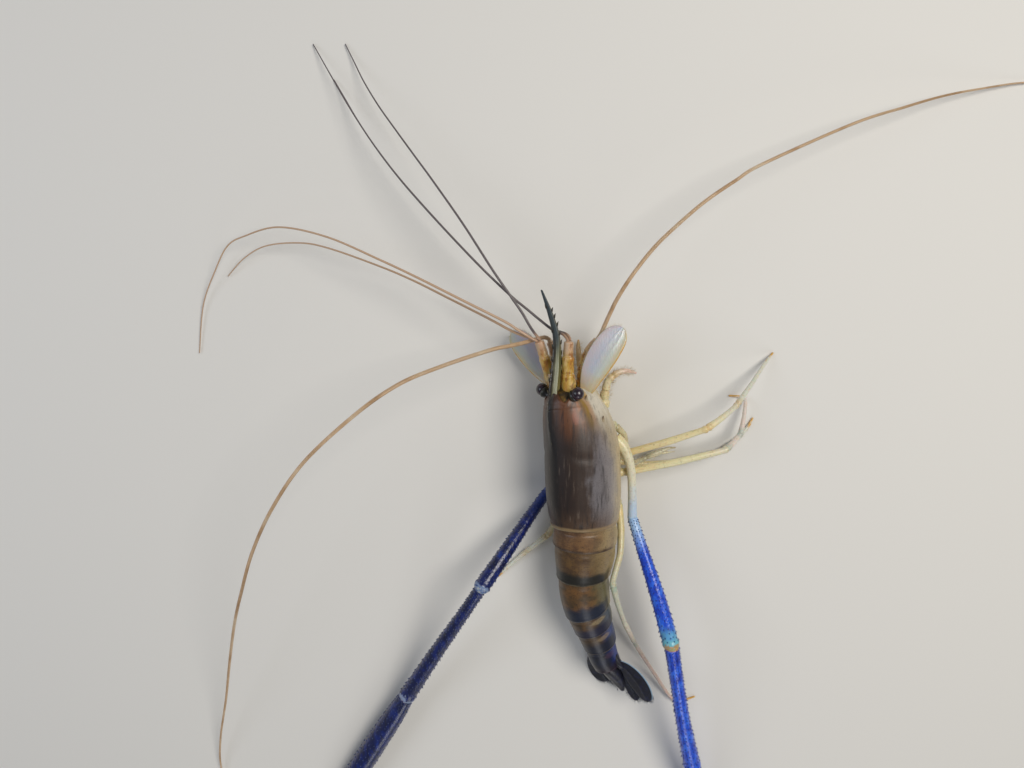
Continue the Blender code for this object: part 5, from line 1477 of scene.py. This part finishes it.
def fingerWork(side, lines, template, hair, shades, velvetFinish):
    # blunt teeth on the cutting edges, and the short velvet of a grown male's fingers
    for part, other in (("fixed", "moving"), ("moving", "fixed")):
        line = lines[part]
        teeth = []
        velvet = []
        marks = []
        for at, size in [(0.2, 1.5), (0.34, 1.2)] + [(0.4 + 0.05 * step, 0.5) for step in range(10)]:
            place, radius = line[int(at * (len(line) - 1))]
            toward = (lines[other][int(at * (len(line) - 1))][0] - place).normalized()
            teeth.append(standing(place + toward * radius * 0.9, toward, size, 0.5 * size, (0, 0, 1)))
        roots = [(0.05 * number, 0.5) for number in range(len(teeth))]
        dress(scatterCopies("fingerTeeth_%s_%s" % (part, side), template, teeth, roots), shades, "blue_claw")
        for number in range(arms["velvet"]):
            at = random.uniform(0.04, 0.66)
            spot = int(at * (len(line) - 2)) + 1
            place, radius = line[spot]
            along, out = outFrom(line, spot)
            if (place + out * (radius + 0.9)).z < 0.15:
                continue
            size = random.uniform(0.6, 1.1) * (1 - blendStep(0.5, 0.68, at) * 0.6)
            lean = out + along * random.uniform(0.5, 1.0)
            velvet.append(standing(place + out * radius * 0.95, lean, size, 0.07))
            marks.append((at, number % 97 / 97))
        coat = scatterCopies("fingerVelvet_%s_%s" % (part, side), hair, velvet, marks)
        dress(coat, velvetFinish, "blue_claw")


def makeArms():
    shades = {
        "right": ["#0a2384", "#1543c4", "#2763e0", "#629cee"],
        # the left arm: its own darker navy, darkened further by painted shade over the whole arm
        "left": ["#020828", "#041142", "#071c62", "#163684"],
    }
    skins = {
        "right": makeJointSkin("jointSkinRight", "#6fb6bd", "#a3a672", "#b98444", "#d2b489"),
        # the left joint skin: its own navy and tan, with painted glints in pale grey-blue
        "left": makeJointSkin("jointSkinLeft", "#2a3c78", "#5d719a", "#8d98a8", "#b7b59c"),
    }
    ischiums = {
        "right": makeLegChitin(
            "paleIschiumChitin", "#dccf9c", "#dcd8c0", "#b8cbe0", 0.0, "#cdbf86", "#a9c4e2", (0.6, 0.88)),
        "left": makeLegChitin(
            "blueIschiumChitin", "#cfc59c", "#9aa9c4", "#2c4a92", 0.0, "#b9b08a", "#16307c", (0.4, 0.75)),
    }
    spineTemplate = taperTemplate("armSpineShape", 7, 0.22, rows=3)
    velvetHair = taperTemplate("velvetShape", 3, 0.2, rows=1)
    velvet = makeSetae("fingerVelvet", "#1b2038", "#6e6a5c")
    for side in ("right", "left"):
        lines, faces = armLines(arms[side])
        tones = shades[side]
        pale, ring, rim, knot, wristToneAndGlint = {
            "right": ("#9dc0e6", "#6fb9c4", "#b5884a", "#b0853f", tones[2]),
            # on the left arm the pale rim and wrist tones are painted glints: rim at the merus end, wrist at
            # the carpus end and the palm's start
            "left": ("#1d3a86", "#071a5a", "#7f93b4", "#33437a", "#93a2c0"),
        }[side]
        finishes = {
            "merus": makeArmChitin("armChitin_merus_" + side, tones, pale, ring, 0.36, 0.21, rim),
            "carpus": makeArmChitin("armChitin_carpus_" + side, tones, knot, tones[2], 0.07, 0.03, wristToneAndGlint),
            "palm": makeArmChitin("armChitin_palm_" + side, tones, wristToneAndGlint, tones[1], 0.04, 0.03, tones[1]),
        }
        # spine tips: dark on the right arm; pale painted glints on the left arm, on its spines and finger teeth
        spineTipAndGlint = {"right": "#070d38", "left": "#5f70a0"}[side]
        spineChitin = makeSetae("armSpineChitin_" + side, tones[0], spineTipAndGlint)
        for part in ("ischium", "merus", "carpus", "palm", "moving"):
            line = segmentLine(lines[part], part)
            around = 28 if part == "ischium" else 56
            rings = tubeRings(line, around, faces=faces[part])
            pieces = [ringSkin("armShell_%s_%s" % (part, side), rings, 0.5, 0.7)]
            if part == "palm":
                finger = segmentLine(lines["fixed"], "fixed")
                pieces.append(ringSkin("fixedFinger_" + side, tubeRings(finger, 40), 0.5, 0.6))
            whole = joinPieces("armShell_%s_%s" % (part, side), pieces)
            if part == "ischium":
                markKnuckles(whole, [line[0][0], line[40][0]], 1.6)
            finish = ischiums[side] if part == "ischium" else finishes.get(part, finishes["palm"])
            slot = "pale_limb" if part == "ischium" else "blue_claw"
            dress(whole, finish, slot, "big_arm_%s_%s" % (part, side))
            if part == "ischium":
                continue
            places, marks = spinesOn(line, *armSpines[part], part)
            if part == "palm":
                morePlaces, moreMarks = spinesOn(lines["fixed"], *armSpines["fixed"], "fixed")
                places += morePlaces
                marks += moreMarks
            spines = scatterCopies("armSpines_%s_%s" % (part, side), spineTemplate, places, marks)
            dress(spines, spineChitin, "blue_claw")
        fingerWork(side, lines, spineTemplate, velvetHair, spineChitin, velvet)
        for inner, (a, ra), middle, (b, rb) in meetingPlaces(lines):
            knots = [(a, ra * 0.86), (middle, max(ra, rb) * 0.93), (b, rb * 0.86)]
            rows = (curveAt([(*p, r) for p, r in knots], step / 12) for step in range(13))
            fill = [(Vector(row[:3]), row[3]) for row in rows]
            joint = ringSkin("armJoint_%s_%s" % (inner, side), tubeRings(fill, 40), 0.1, 0.1)
            dress(joint, skins[side], "blue_claw")
    bpy.data.objects.remove(spineTemplate)
    bpy.data.objects.remove(velvetHair)


# the swimming legs under the tail
def makeSwimLegs(bristle):
    chitin = makeLegChitin("swimLegChitin", "#b7a878", "#a3936a", "#7e7660", 0.05)
    setae = makeSetae("swimSetae", "#6d6450", "#b3a682")
    for number in range(5):
        front, rear = abdomen["edges"][number:number + 2]
        y = (front + rear) / 2 + 1.5
        halfWidth, halfHeight = lookUp(abdomen["table"], y)
        length = 15 - number
        for name, sign in (("left", -1), ("right", 1)):
            start = -halfHeight * (abdomen["belly"] + 0.1)
            route = [tuple(onBody(y - length * part, start - depth, sign * halfWidth * 0.33))
                     for part, depth in ((-0.12, -1.5), (0.1, 1.6), (0.5, 4.2), (1, 5.6))]
            across = tuple(bodyFrame(y)[2])
            rings, edges = bladeRings(route, [1.5, 2.2, 2.8, 2.7, 1.4], across, 1.0, 34, [(0.0, 0.25, 0.2)], 28)
            rings = [[Vector((point.x, point.y, max(point.z, 0.1))) for point in ring] for ring in rings]
            paddle = ringSkin("swimLeg_%d_%s" % (number + 1, name), rings, 0.3, 0.3)
            dress(paddle, chitin, "pale_limb", "pleopod_%d_%s" % (number + 1, name))
            for edge in (-1, 1):
                label = "swimFringe_%d_%s_%s" % (number + 1, name, "in" if edge < 0 else "out")
                fringeOf(label, edges, setae, "pale_limb", bristle, 1.6, edge, 0.3, 0.45)


# the floor, the light and the camera, which stands where the photo's stood
stage = {
    "floorSize": 6.0, "floorTone": "#dbd9d4",
    "cameraPlace": (-36.0, 74.9, 455), "cameraTilt": -9.0, "focalPixels": 769, "pictureWidth": 1024,
    "lights": {
        "skyLight": {"place": (0.5, 0.45, 1.15), "size": 0.75, "power": 12, "tone": "#fffaf2"},
        "sideLight": {"place": (-0.9, 0.25, 0.75), "size": 0.6, "power": 2.5, "tone": "#e8f0ff"},
        "backLight": {"place": (0.2, -1.1, 0.8), "size": 0.6, "power": 2.5, "tone": "#ffffff"},
    },
    "skyTone": "#e9edf3", "skyStrength": 0.22,
}


def makeStage():
    deselect()
    bpy.ops.mesh.primitive_plane_add(size=stage["floorSize"], location=(0, 0, -0.0004))
    floor = bpy.context.object
    floor.name = "paleFloor"
    paint, _ = newMaterial("paleFloorPaint", Roughness=0.7, Base_Color=toLinear(stage["floorTone"]))
    floor.data.materials.append(paint)
    for name, light in stage["lights"].items():
        bpy.ops.object.light_add(type="AREA", location=light["place"])
        lamp = bpy.context.object
        lamp.name = name
        lamp.data.shape = "DISK"
        lamp.data.size = light["size"]
        lamp.data.energy = light["power"]
        lamp.data.color = toLinear(light["tone"])[:3]
        lamp.rotation_euler = (-Vector(light["place"])).to_track_quat("-Z", "Y").to_euler()
    world = bpy.data.worlds.new("softSky")
    world.use_nodes = True
    sky = world.node_tree.nodes["Background"]
    sky.inputs["Color"].default_value = toLinear(stage["skyTone"])
    sky.inputs["Strength"].default_value = stage["skyStrength"]
    bpy.context.scene.world = world
    bpy.context.scene.view_settings.view_transform = "Standard"
    tilt = math.radians(stage["cameraTilt"])
    bpy.ops.object.camera_add(location=toModel(stage["cameraPlace"]), rotation=(tilt, 0, 0))
    camera = bpy.context.object
    camera.data.sensor_width = 36
    camera.data.lens = 36 * stage["focalPixels"] / stage["pictureWidth"]
    camera.data.clip_start = 0.01
    bpy.context.scene.camera = camera


bristle = taperTemplate("bristleShape", 3, 0.1, rows=1)
amber = makeAmberChitin()
makeCarapace(makeCarapaceChitin())
makeRostrum(makeRostrumChitin())
print("prawn: carapace and rostrum")
makeEyes(makeCornea())
makeAbdomen()
print("prawn: eyes and abdomen")
makeTailFan(bristle)
makeHeadLimbs(bristle, amber)
print("prawn: tail fan and head limbs")
makeLashes()
makeLegs()
print("prawn: lashes and legs")
makeArms()
makeSwimLegs(bristle)
bpy.data.objects.remove(bristle)
print("prawn: arms and swimming legs")
makeStage()
deselect()
